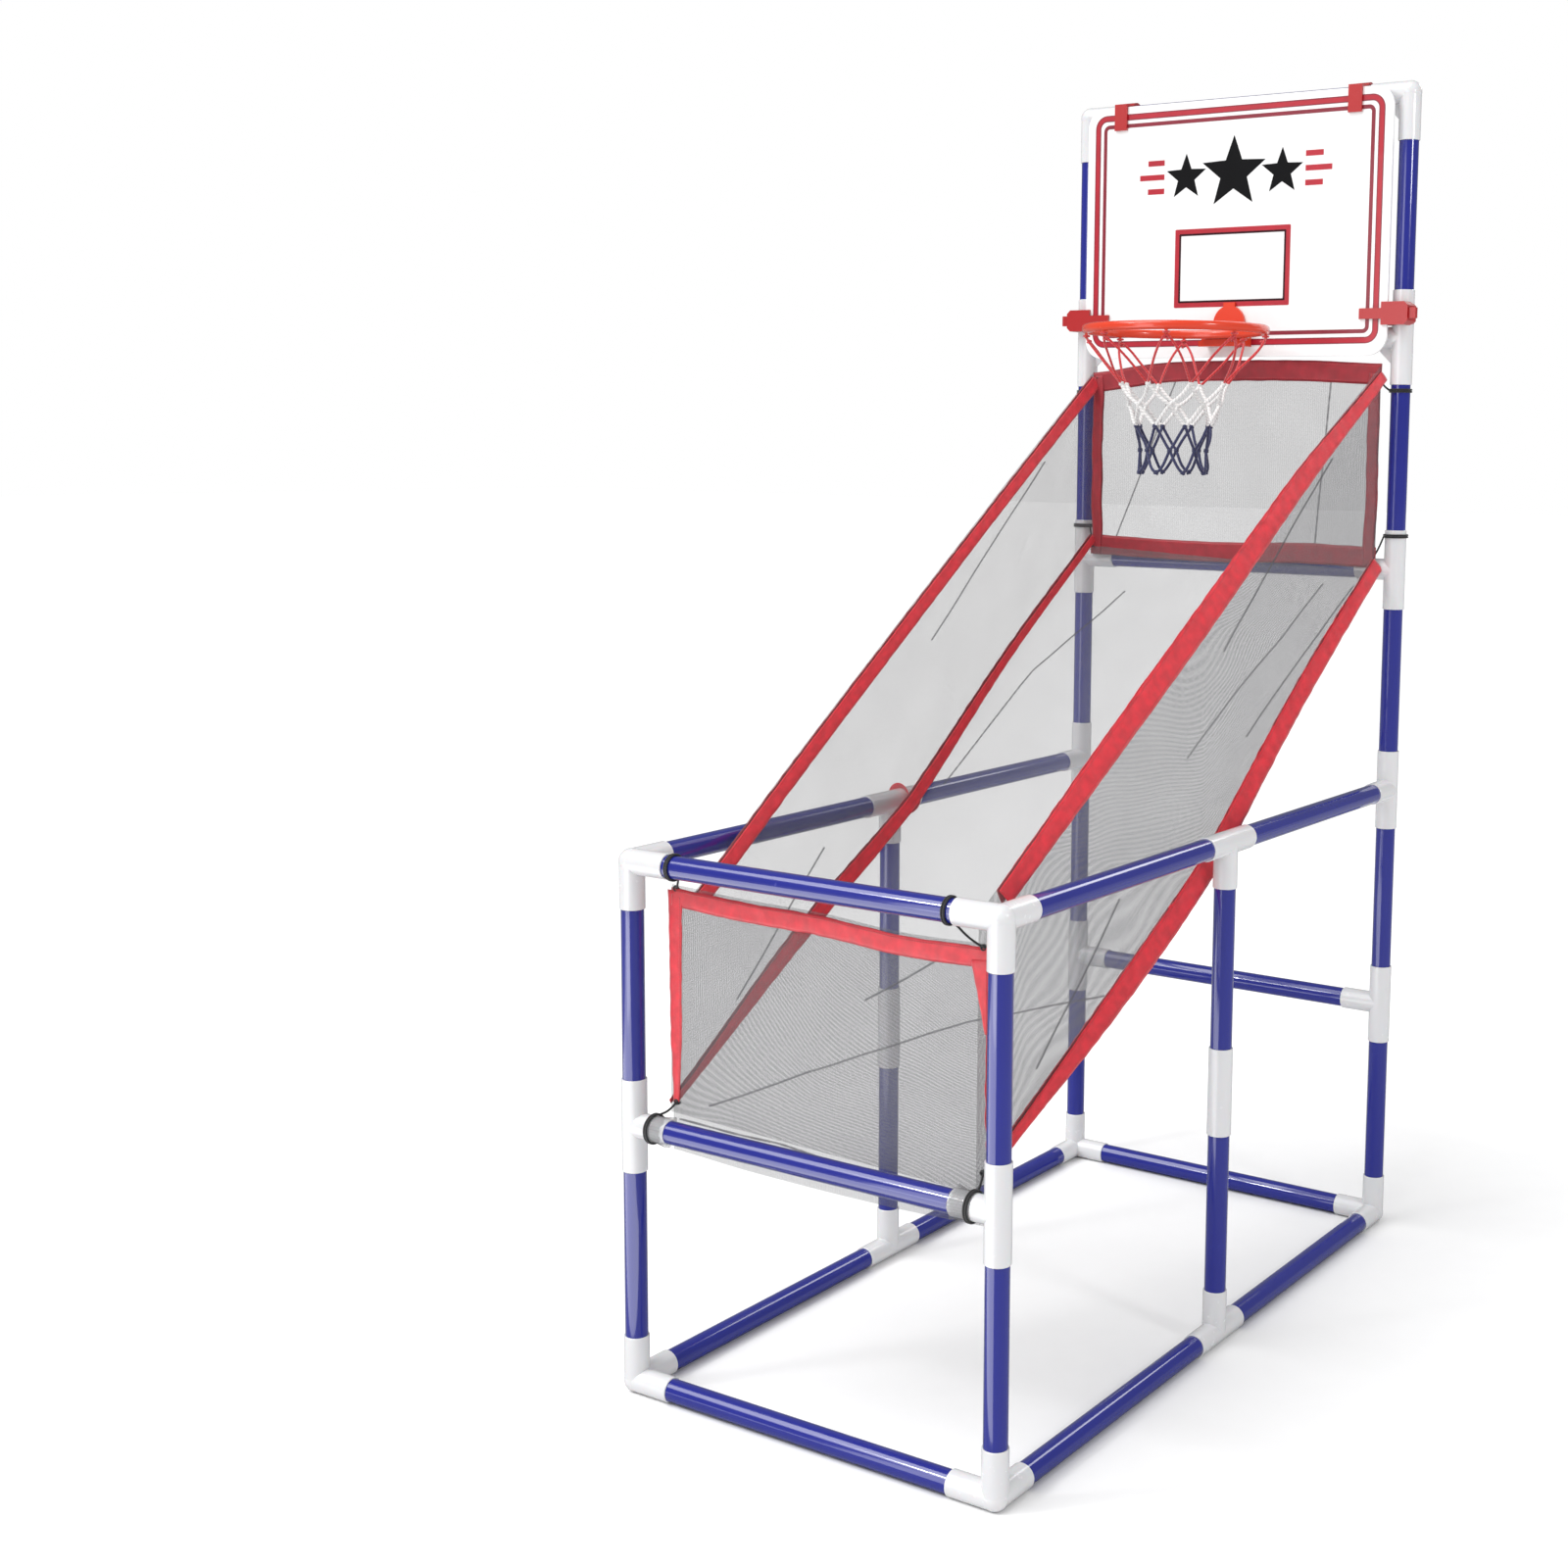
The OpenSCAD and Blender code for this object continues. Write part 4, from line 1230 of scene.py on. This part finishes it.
        def place(s: float, t: float) -> Vector:
            """Return the panel's point at two shares."""
            point = self.floor_edge(Side.LEFT, t).lerp(self.floor_edge(Side.RIGHT, t), s)
            lift = self.crumple(point, s, t) - self.floor_sag * bell(s) * fade(t, 0.12)
            return point + Vector((0, -0.45, 0.9)) * lift

        rise = self.floor_back - self.floor_front
        length = math.hypot(self.y_back - self.y_front, rise)
        self.panel("Mesh_Floor", "mesh_floor", place, 46, 116, (2 * self.half_back, length),
                   [((0.30, 0.10), (0.62, 0.22), (0.95, 0.30)), ((0.75, 0.66), (0.80, 0.80), (0.86, 0.97)),
                    ((0.90, 0.70), (0.93, 0.84), (0.96, 0.97)), ((0.05, 0.55), (0.10, 0.75), (0.22, 0.92))])

    def build_sides(self) -> None:
        """Build the two side panels."""
        for side in Side:
            def place(s: float, t: float, side: Side = side) -> Vector:
                """Return the side panel's point at two shares."""
                point = self.floor_edge(side, t).lerp(self.top_edge(side, t), s)
                lift = self.crumple(point, s, t) + self.billow * bell(s) * fade(t, 0.1)
                return point - Vector((side.value, 0, 0)) * lift

            height = self.edge_back - self.floor_back
            length = math.hypot(self.y_back - self.y_front, self.edge_back - self.edge_front)
            self.panel(f"Mesh_Side_{side.name.title()}", "mesh_sides", place, 26, 116, (height, length),
                       [((0.15, 0.12), (0.35, 0.3)), ((0.7, 0.55), (0.85, 0.85))])

    def front_edge(self, s: float) -> Vector:
        """Return a point on the front panel's top edge, from left to right."""
        return Vector((mix(*self.front_reach, s), self.y_front,
                       self.edge_front + through(self.front_slack, s)))

    def build_front(self) -> None:
        """Build the front panel, which runs down behind the tray's crossbar."""

        def place(s: float, t: float) -> Vector:
            """Return the panel's point at two shares."""
            top = self.front_edge(s)
            low = Vector((top.x + self.front_lean * s, self.y_front,
                          self.apron_low + through(self.apron_slack, s)))
            point = low.lerp(top, t)
            return point + Vector((0, 0.7 * self.crumple(point, s, t) + 5 * MM * bell(t) * bell(s), 0))

        self.panel("Mesh_Front", "mesh_front", place, 44, 32,
                   (self.front_reach[1] - self.front_reach[0], self.edge_front - self.apron_low),
                   [((0.02, 0.12), (0.35, 0.13), (0.7, 0.09), (0.98, 0.12)), ((0.12, 0.2), (0.45, 0.42)),
                    ((0.62, 0.72), (0.88, 0.95))])

    def build_back(self) -> None:
        """Build the back panel that stops the ball."""

        def place(s: float, t: float) -> Vector:
            """Return the panel's point at two shares."""
            x = mix(-self.half_back, self.half_back, s)
            low = self.hem_low + through(self.hem_slack, s)
            point = Vector((x, self.y_back, mix(low, self.edge_back + through(self.crown_slack, s), t)))
            return point - Vector((0, abs(0.8 * self.crumple(point, s, t)), 0))

        self.panel("Mesh_Back", "mesh_back", place, 46, 28,
                   (2 * self.half_back, self.edge_back - self.hem_low),
                   [((0.08, 0.05), (0.3, 0.9)), ((0.8, 0.1), (0.84, 0.95))])

    def hem(self, name: str, node: str, path: Sequence[Vector], facing: Vector,
            width: float = 26 * MM, taper: tuple[float, ...] = (1.0, 1.0),
            lining: Optional[Vector] = None) -> None:
        """Build one ribbon as its own piece.

        Args:
            name: Name of the piece.
            node: Node of the frame that it replaces.
            path: Middle line of the ribbon.
            facing: Direction that its face looks to.
            width: Width of the ribbon.
            taper: Shares of the width from its start to its end.
            lining: Way from this ribbon to its other half behind the mesh, or None for a single one.
        """
        draft = Draft()
        # The back hems take the darkened red finishes: painted shade for ribbons that sit in shade behind the
        # side mesh.
        look = "ribbon_back" if node == "ribbon_back_hem" else "ribbon_red"
        if width < self.front_w:
            look = "ribbon_back_slim" if node == "ribbon_back_hem" else "ribbon_slim"
        finish = self.finishes[look]
        length = Ribbon(width=width, taper=taper).add(draft, path, facing)
        if lining is not None:
            Ribbon(width=width, taper=taper).add(draft, [p + lining for p in path], lining)
        piece = draft.build(name, [finish], "frame")
        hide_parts(node)
        mean = sum(through(taper, k / 20) for k in range(21)) / 21 * (1 if lining is None else 2)

    def build_hems(self) -> None:
        """Build the ribbons on the sides, the back panel and the front panel."""
        count = 24
        steps = [i / count for i in range(count + 1)]
        half_w = self.ribbon_w / 2
        for side in Side:
            label = side.name.title()
            right = side is Side.RIGHT
            facing = Vector((0.88, -0.25, 0.32))
            near, lining = Vector((4.5 * MM, 0, 0)), Vector((-6 * MM, 0, 0))
            top = [self.top_edge(side, t) + near - Vector((0, 0, half_w)) for t in steps[1:]]
            self.hem(f"Ribbon_Top_{label}", "ribbon_top_edges", top, facing,
                     taper=(0.7, 0.95, 1.0, 0.85, 0.5) if right else (0.6, 0.6, 0.58, 0.55, 0.6),
                     lining=lining)
            low = [self.floor_edge(side, t) + near + Vector((0, 0, half_w * 0.8)) for t in steps[right:]]
            self.hem(f"Ribbon_Floor_{label}", "ribbon_floor_edges", low, facing,
                     self.ribbon_w if right else self.slim_w,
                     (0.35, 0.9, 0.9, 0.85, 0.7) if right else (0.3, 0.95, 0.8, 0.55, 0.5), lining)
        face = Vector((0, -1, 0))
        y, behind = self.y_back - 1.2 * MM, Vector((0, 2.4 * MM, 0))
        inner = self.half_back - self.narrow_w / 2
        low_line = [Vector((mix(-self.half_back, self.half_back, t), y,
                            self.hem_low + half_w + through(self.hem_slack, t))) for t in steps]
        top_line = [Vector((p.x, y, self.edge_back - half_w + through(self.crown_slack, t)))
                    for p, t in zip(low_line, steps)]
        self.hem("Ribbon_Back_Low", "ribbon_back_hem", low_line, face, lining=behind)
        self.hem("Ribbon_Back_Top", "ribbon_back_hem", top_line, face, lining=behind)
        for side in Side:
            waver = [4 * MM * ripple(Vector((side.value, t, 0)), 4.0) for t in steps]
            rise = [Vector((side.value * (inner + sway), y - 0.8 * MM,
                            mix(self.hem_low + 4 * MM, self.edge_back - 4 * MM, t)))
                    for sway, t in zip(waver, steps)]
            self.hem(f"Ribbon_Back_{side.name.title()}", "ribbon_back_hem", rise, face, self.narrow_w,
                     lining=behind)
        front = [self.front_edge(t) + Vector((0, -0.8 * MM, -half_w)) for t in steps]
        self.hem("Ribbon_Front_Top", "ribbon_front_hem", front, face, self.front_w)
        left, right = self.front_edge(0), self.front_edge(1)
        drop = [Vector((left.x + 5 * MM, self.y_front - 0.8 * MM,
                        mix(left.z - 6 * MM, self.apron_low + 52 * MM, t))) for t in steps]
        self.hem("Ribbon_Front_Left", "ribbon_front_hem", drop, face, self.front_w, (1.0, 0.8, 0.75, 0.4))
        wedge = [Vector((mix(right.x - 9 * MM, right.x - 1.5 * MM, t), self.y_front - 1.5 * MM,
                         right.z - mix(16 * MM, 86 * MM, t))) for t in steps]
        self.hem("Ribbon_Front_Corner", "ribbon_front_hem", wedge, face, self.front_w, (1.0, 0.55, 0.15))
        fold = [Vector((right.x - 1.5 * MM, self.y_front + 4 * MM,
                        mix(right.z - 60 * MM, self.floor_front + 20 * MM, t))) for t in steps]
        self.hem("Ribbon_Front_Right", "ribbon_front_hem", fold, Vector((1, 0.1, 0)), 13 * MM,
                 (0.5, 1.0, 1.0, 0.5))

    def build_rail_tie(self) -> None:
        """Wind a short ribbon from the left floor seam around the rail's middle fitting."""
        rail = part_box("rail_left_tubes")
        x_rail, level = (rail[0].x + rail[1].x) / 2, (rail[0].z + rail[1].z) / 2
        radius, count = 14.6 * MM, 60
        across, up = Vector((1, 0, 0)), Vector((0, 0, 1))
        centre = Vector((x_rail, 16 * MM, level))
        wound = arc(centre, across, up, radius, -0.12, 1.1, count)
        path = [p + Vector((0, 20 * MM * i / count, 0.6 * MM * i / count)) for i, p in enumerate(wound)]
        seam = self.floor_edge(Side.LEFT, 0.5) + Vector((0, 0, 4 * MM))
        tail = path[-1] + Vector((6 * MM, 8 * MM, 3 * MM))
        draft = Draft()
        strip = Ribbon(width=12 * MM, pucker=0.4 * MM, columns=4, step=2 * MM, thick=0.7 * MM)
        length = strip.add(draft, [seam, seam.lerp(path[0], 0.6), *path, tail],
                           Vector((0.73, 0, -0.68)), turning=True)
        piece = draft.build("Rail_Tie_Left", [self.finishes["ribbon_slim"]], "frame")

    def build_sleeves(self) -> None:
        """Gather a sleeve of doubled mesh on each tray fitting's arm, under its elastic."""
        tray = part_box("tray_crossbar")
        y, z = (tray[0].y + tray[1].y) / 2, (tray[0].z + tray[1].z) / 2
        half, waist, length, count = tray[1].x - 20 * MM, 13.6 * MM, 24 * MM, 48
        for side in Side:
            rows = []
            for i in range(11):
                t = i / 10
                x = side.value * (half + length * t)
                flare = 1.8 * MM * (2 * t - 1.5) ** 2
                row = []
                for j in range(count):
                    turn = TURN * j / count
                    wave = math.sin(9 * turn + 2 * t) * math.cos(2 * turn + side.value)
                    ruffle = flare * (0.5 + 0.5 * wave)
                    reach = waist + max(ruffle, 0.0) + 0.2 * MM
                    row.append(Vector((x, y + reach * math.cos(turn), z + reach * math.sin(turn))))
                rows.append(row)
            draft = Draft()
            draft.grid(rows, [TURN * waist * j / count for j in range(count + 1)],
                       [length * i / 10 for i in range(11)], wrap=True)
            piece = draft.build(f"Mesh_Sleeve_{side.name.title()}", [self.finishes["mesh_grey"]], "frame")

    def build_ties(self) -> None:
        """Build the elastic loops around the tubes and their leads to the chute's corners."""
        draft = Draft()
        elastic = 1.2 * MM
        tube_r, fit_r = 12 * MM, 13.4 * MM
        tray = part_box("tray_crossbar")
        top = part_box("front_top_crossbar")
        y_front, z_low = (tray[0].y + tray[1].y) / 2, (tray[0].z + tray[1].z) / 2
        z_top = (top[0].z + top[1].z) / 2
        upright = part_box("upright_right_tubes")
        x_leg, y_back = (upright[0].x + upright[1].x) / 2, (upright[0].y + upright[1].y) / 2
        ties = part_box("elastic_ties")
        across, deep, up = Vector((1, 0, 0)), Vector((0, 1, 0)), Vector((0, 0, 1))
        for side in Side:
            sx = side.value
            low_front = self.front_edge(0.5 + sx * 0.5)
            corner_top = low_front + Vector((-sx * 6 * MM, 0, -4 * MM))
            corner_x = self.half_front + 8 * MM if sx > 0 else 8 * MM - self.half_front
            corner_low = Vector((corner_x, self.y_front, self.floor_front + 4 * MM))
            spots = (
                (Vector((sx * (x_leg - self.tray_tie_in), y_front, z_low)), deep, up, fit_r + 0.5 * MM,
                 corner_low),
                (Vector((sx * (x_leg - self.top_tie_in), y_front, z_top)), deep, up, tube_r, corner_top),
                (Vector((sx * x_leg, y_back, self.hem_low + self.back_tie_up)), across, deep, fit_r,
                 Vector((sx * (self.half_back - 4 * MM), self.y_back, self.hem_low + 12 * MM))),
                (Vector((sx * x_leg, y_back, ties[1].z - elastic)), across, deep, tube_r,
                 Vector((sx * (self.half_back - 4 * MM), self.y_back, self.edge_back - 8 * MM))),
            )
            for centre, first, second, inside, corner in spots:
                reach = inside + 0.1 * MM + elastic
                axis = first.cross(second)
                for turn in (0, 1):
                    shift = axis * (turn * 2.1 - 1.05) * elastic
                    ring = arc(centre + shift, first, second, reach, 0, 1 - 1 / 28, 28)
                    draft.cord(ring, elastic, 7, loop=True)
                away = (corner - centre) - axis * axis.dot(corner - centre)
                start = centre + away.normalized() * reach
                middle = start.lerp(corner, 0.5) + Vector((0, 0, -3 * MM))
                draft.cord(resample(smoothed([start, middle, corner]), 3 * MM), elastic, 7)
                self.knot(draft, corner, elastic)
        piece = draft.build("Elastic_Ties", [self.finishes["elastic_black"]], "frame")
        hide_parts("elastic_ties")

    def knot(self, draft: Draft, place: Vector, radius: float) -> None:
        """Add a small overhand knot in the elastic."""
        count, turns = 20, 2
        coil = []
        for k in range(count):
            t = k / (count - 1)
            angle = TURN * turns * t
            coil.append(place + Vector((2 * radius * math.cos(angle), (2 * t - 1) * 1.6 * radius,
                                        2 * radius * math.sin(angle))))
        draft.cord(coil, radius, 6)

    def build(self) -> None:
        """Build every piece of the chute."""
        self.build_floor()
        self.build_sides()
        self.build_front()
        self.build_back()
        self.build_hems()
        self.build_rail_tie()
        self.build_sleeves()
        self.build_ties()


# ---------------------------------------------------------------- studio


@dataclass
class Studio:
    """Pale floor, soft lights and the camera."""

    azimuth: float = 32.559
    elevation: float = 7.092
    roll: float = 0.684
    place: tuple[float, float, float] = (1.2406, -2.0330, 0.9992)
    lens: float = 48.24
    shift: tuple[float, float] = (-0.1434, -0.0493)
    floor_size: float = 60.0

    def build_camera(self) -> None:
        """Set up the camera."""
        azimuth, elevation, roll = (math.radians(a) for a in (self.azimuth, self.elevation, self.roll))
        back = Vector((math.sin(azimuth) * math.cos(elevation), -math.cos(azimuth) * math.cos(elevation),
                       math.sin(elevation)))
        right = Vector((0, 0, 1)).cross(back).normalized()
        up = back.cross(right)
        rolled = math.cos(roll) * right + math.sin(roll) * up
        risen = math.cos(roll) * up - math.sin(roll) * right
        data = bpy.data.cameras.new("Camera")
        data.sensor_width = 36.0
        data.lens = self.lens
        data.shift_x, data.shift_y = self.shift
        data.clip_end = 200.0
        camera = bpy.data.objects.new("Camera", data)
        turn = Matrix((rolled, risen, back)).transposed().to_4x4()
        camera.matrix_world = Matrix.Translation(self.place) @ turn
        bpy.context.scene.collection.objects.link(camera)
        bpy.context.scene.camera = camera

    def build_floor(self) -> None:
        """Lay the pale floor."""
        half = self.floor_size / 2
        mesh = bpy.data.meshes.new("Floor")
        mesh.from_pydata([(-half, -half, 0), (half, -half, 0), (half, half, 0), (-half, half, 0)], [],
                         [(0, 1, 2, 3)])
        floor = bpy.data.objects.new("Floor", mesh)
        material, w, shader = new_material("floor_paper")
        place = w.add("ShaderNodeTexCoord").outputs["Object"]
        shade = w.spread(w.noise(place, 30.0), 0.98, 1.0)
        mirrored = w.add("ShaderNodeLightPath").outputs["Is Glossy Ray"]
        w.feed(shader.inputs["Base Color"],
               w.blend(mirrored, scaled(w, (0.93, 0.93, 0.93), shade), (0.3, 0.3, 0.3, 1.0)))
        shader.inputs["Roughness"].default_value = 0.9
        shader.inputs["Specular IOR Level"].default_value = 0.0
        mesh.materials.append(material)
        bpy.context.scene.collection.objects.link(floor)

    def lamp(self, name: str, place: tuple[float, float, float], aim: tuple[float, float, float],
             size: float, power: float, height: Optional[float] = None) -> None:
        """Add a soft area light that looks at a point; one with a height is a card for reflections only."""
        data = bpy.data.lights.new(name, "AREA")
        data.shape = "DISK" if height is None else "RECTANGLE"
        data.size = size
        if height is not None:
            data.size_y = height
        data.energy = power
        light = bpy.data.objects.new(name, data)
        direction = Vector(aim) - Vector(place)
        look = direction.to_track_quat("-Z", "Y").to_matrix().to_4x4()
        light.matrix_world = Matrix.Translation(place) @ look
        light.visible_camera = light.visible_diffuse = height is None
        bpy.context.scene.collection.objects.link(light)

    def build_lights(self) -> None:
        """Set up the world, a wide sun, three soft lamps and two cards that only glossy parts reflect."""
        scene = bpy.context.scene
        world = bpy.data.worlds.new("Studio")
        world.use_nodes = True
        w = Wiring(world.node_tree)
        background = world.node_tree.nodes["Background"]
        light_path = w.add("ShaderNodeLightPath")
        seen = w.spread(light_path.outputs["Is Camera Ray"], 0.62, 1.0)
        mirrored = w.math("MULTIPLY", light_path.outputs["Is Glossy Ray"], 0.42)
        background.inputs["Color"].default_value = (1.0, 1.0, 1.0, 1.0)
        w.feed(background.inputs["Strength"], w.math("SUBTRACT", seen, mirrored))
        scene.world = world
        sun = bpy.data.lights.new("Sun", "SUN")
        sun.energy = 2.15
        sun.angle = math.radians(50)
        lamp = bpy.data.objects.new("Sun", sun)
        lamp.matrix_world = Vector((0.35, 0.55, -1.0)).to_track_quat("-Z", "Y").to_matrix().to_4x4()
        scene.collection.objects.link(lamp)
        self.lamp("Key", (-1.6, -2.4, 2.6), (0, 0, 0.7), 0.42, 17)
        self.lamp("Side", (2.6, -0.6, 1.8), (0, 0, 0.7), 0.5, 12)
        self.lamp("Rear", (0.6, 2.6, 2.4), (0, 0, 0.8), 0.8, 6)
        self.lamp("Card", (-0.35, -1.85, 0.85), (0.05, 0, 0.85), 0.9, 11, 1.66)
        self.lamp("Floor_Card", (-0.6, -1.65, 0.004), (-0.6, -1.65, 1), 1.7, 26, 2.1)
        scene.view_settings.view_transform = "Standard"
        scene.view_settings.look = "None"

    def build(self) -> None:
        """Set up the whole studio."""
        self.build_camera()
        self.build_floor()
        self.build_lights()


def main() -> None:
    """Build the machine around the frame."""
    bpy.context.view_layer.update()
    Studio().build()
    finishes = Finishes()
    HardParts(finishes).dress(("mesh_", "ribbon_", "net_", "elastic_"))
    BoardPrint(finishes).build()
    Net(finishes).build()
    Chute(finishes).build()


if __name__ == "__main__":
    main()
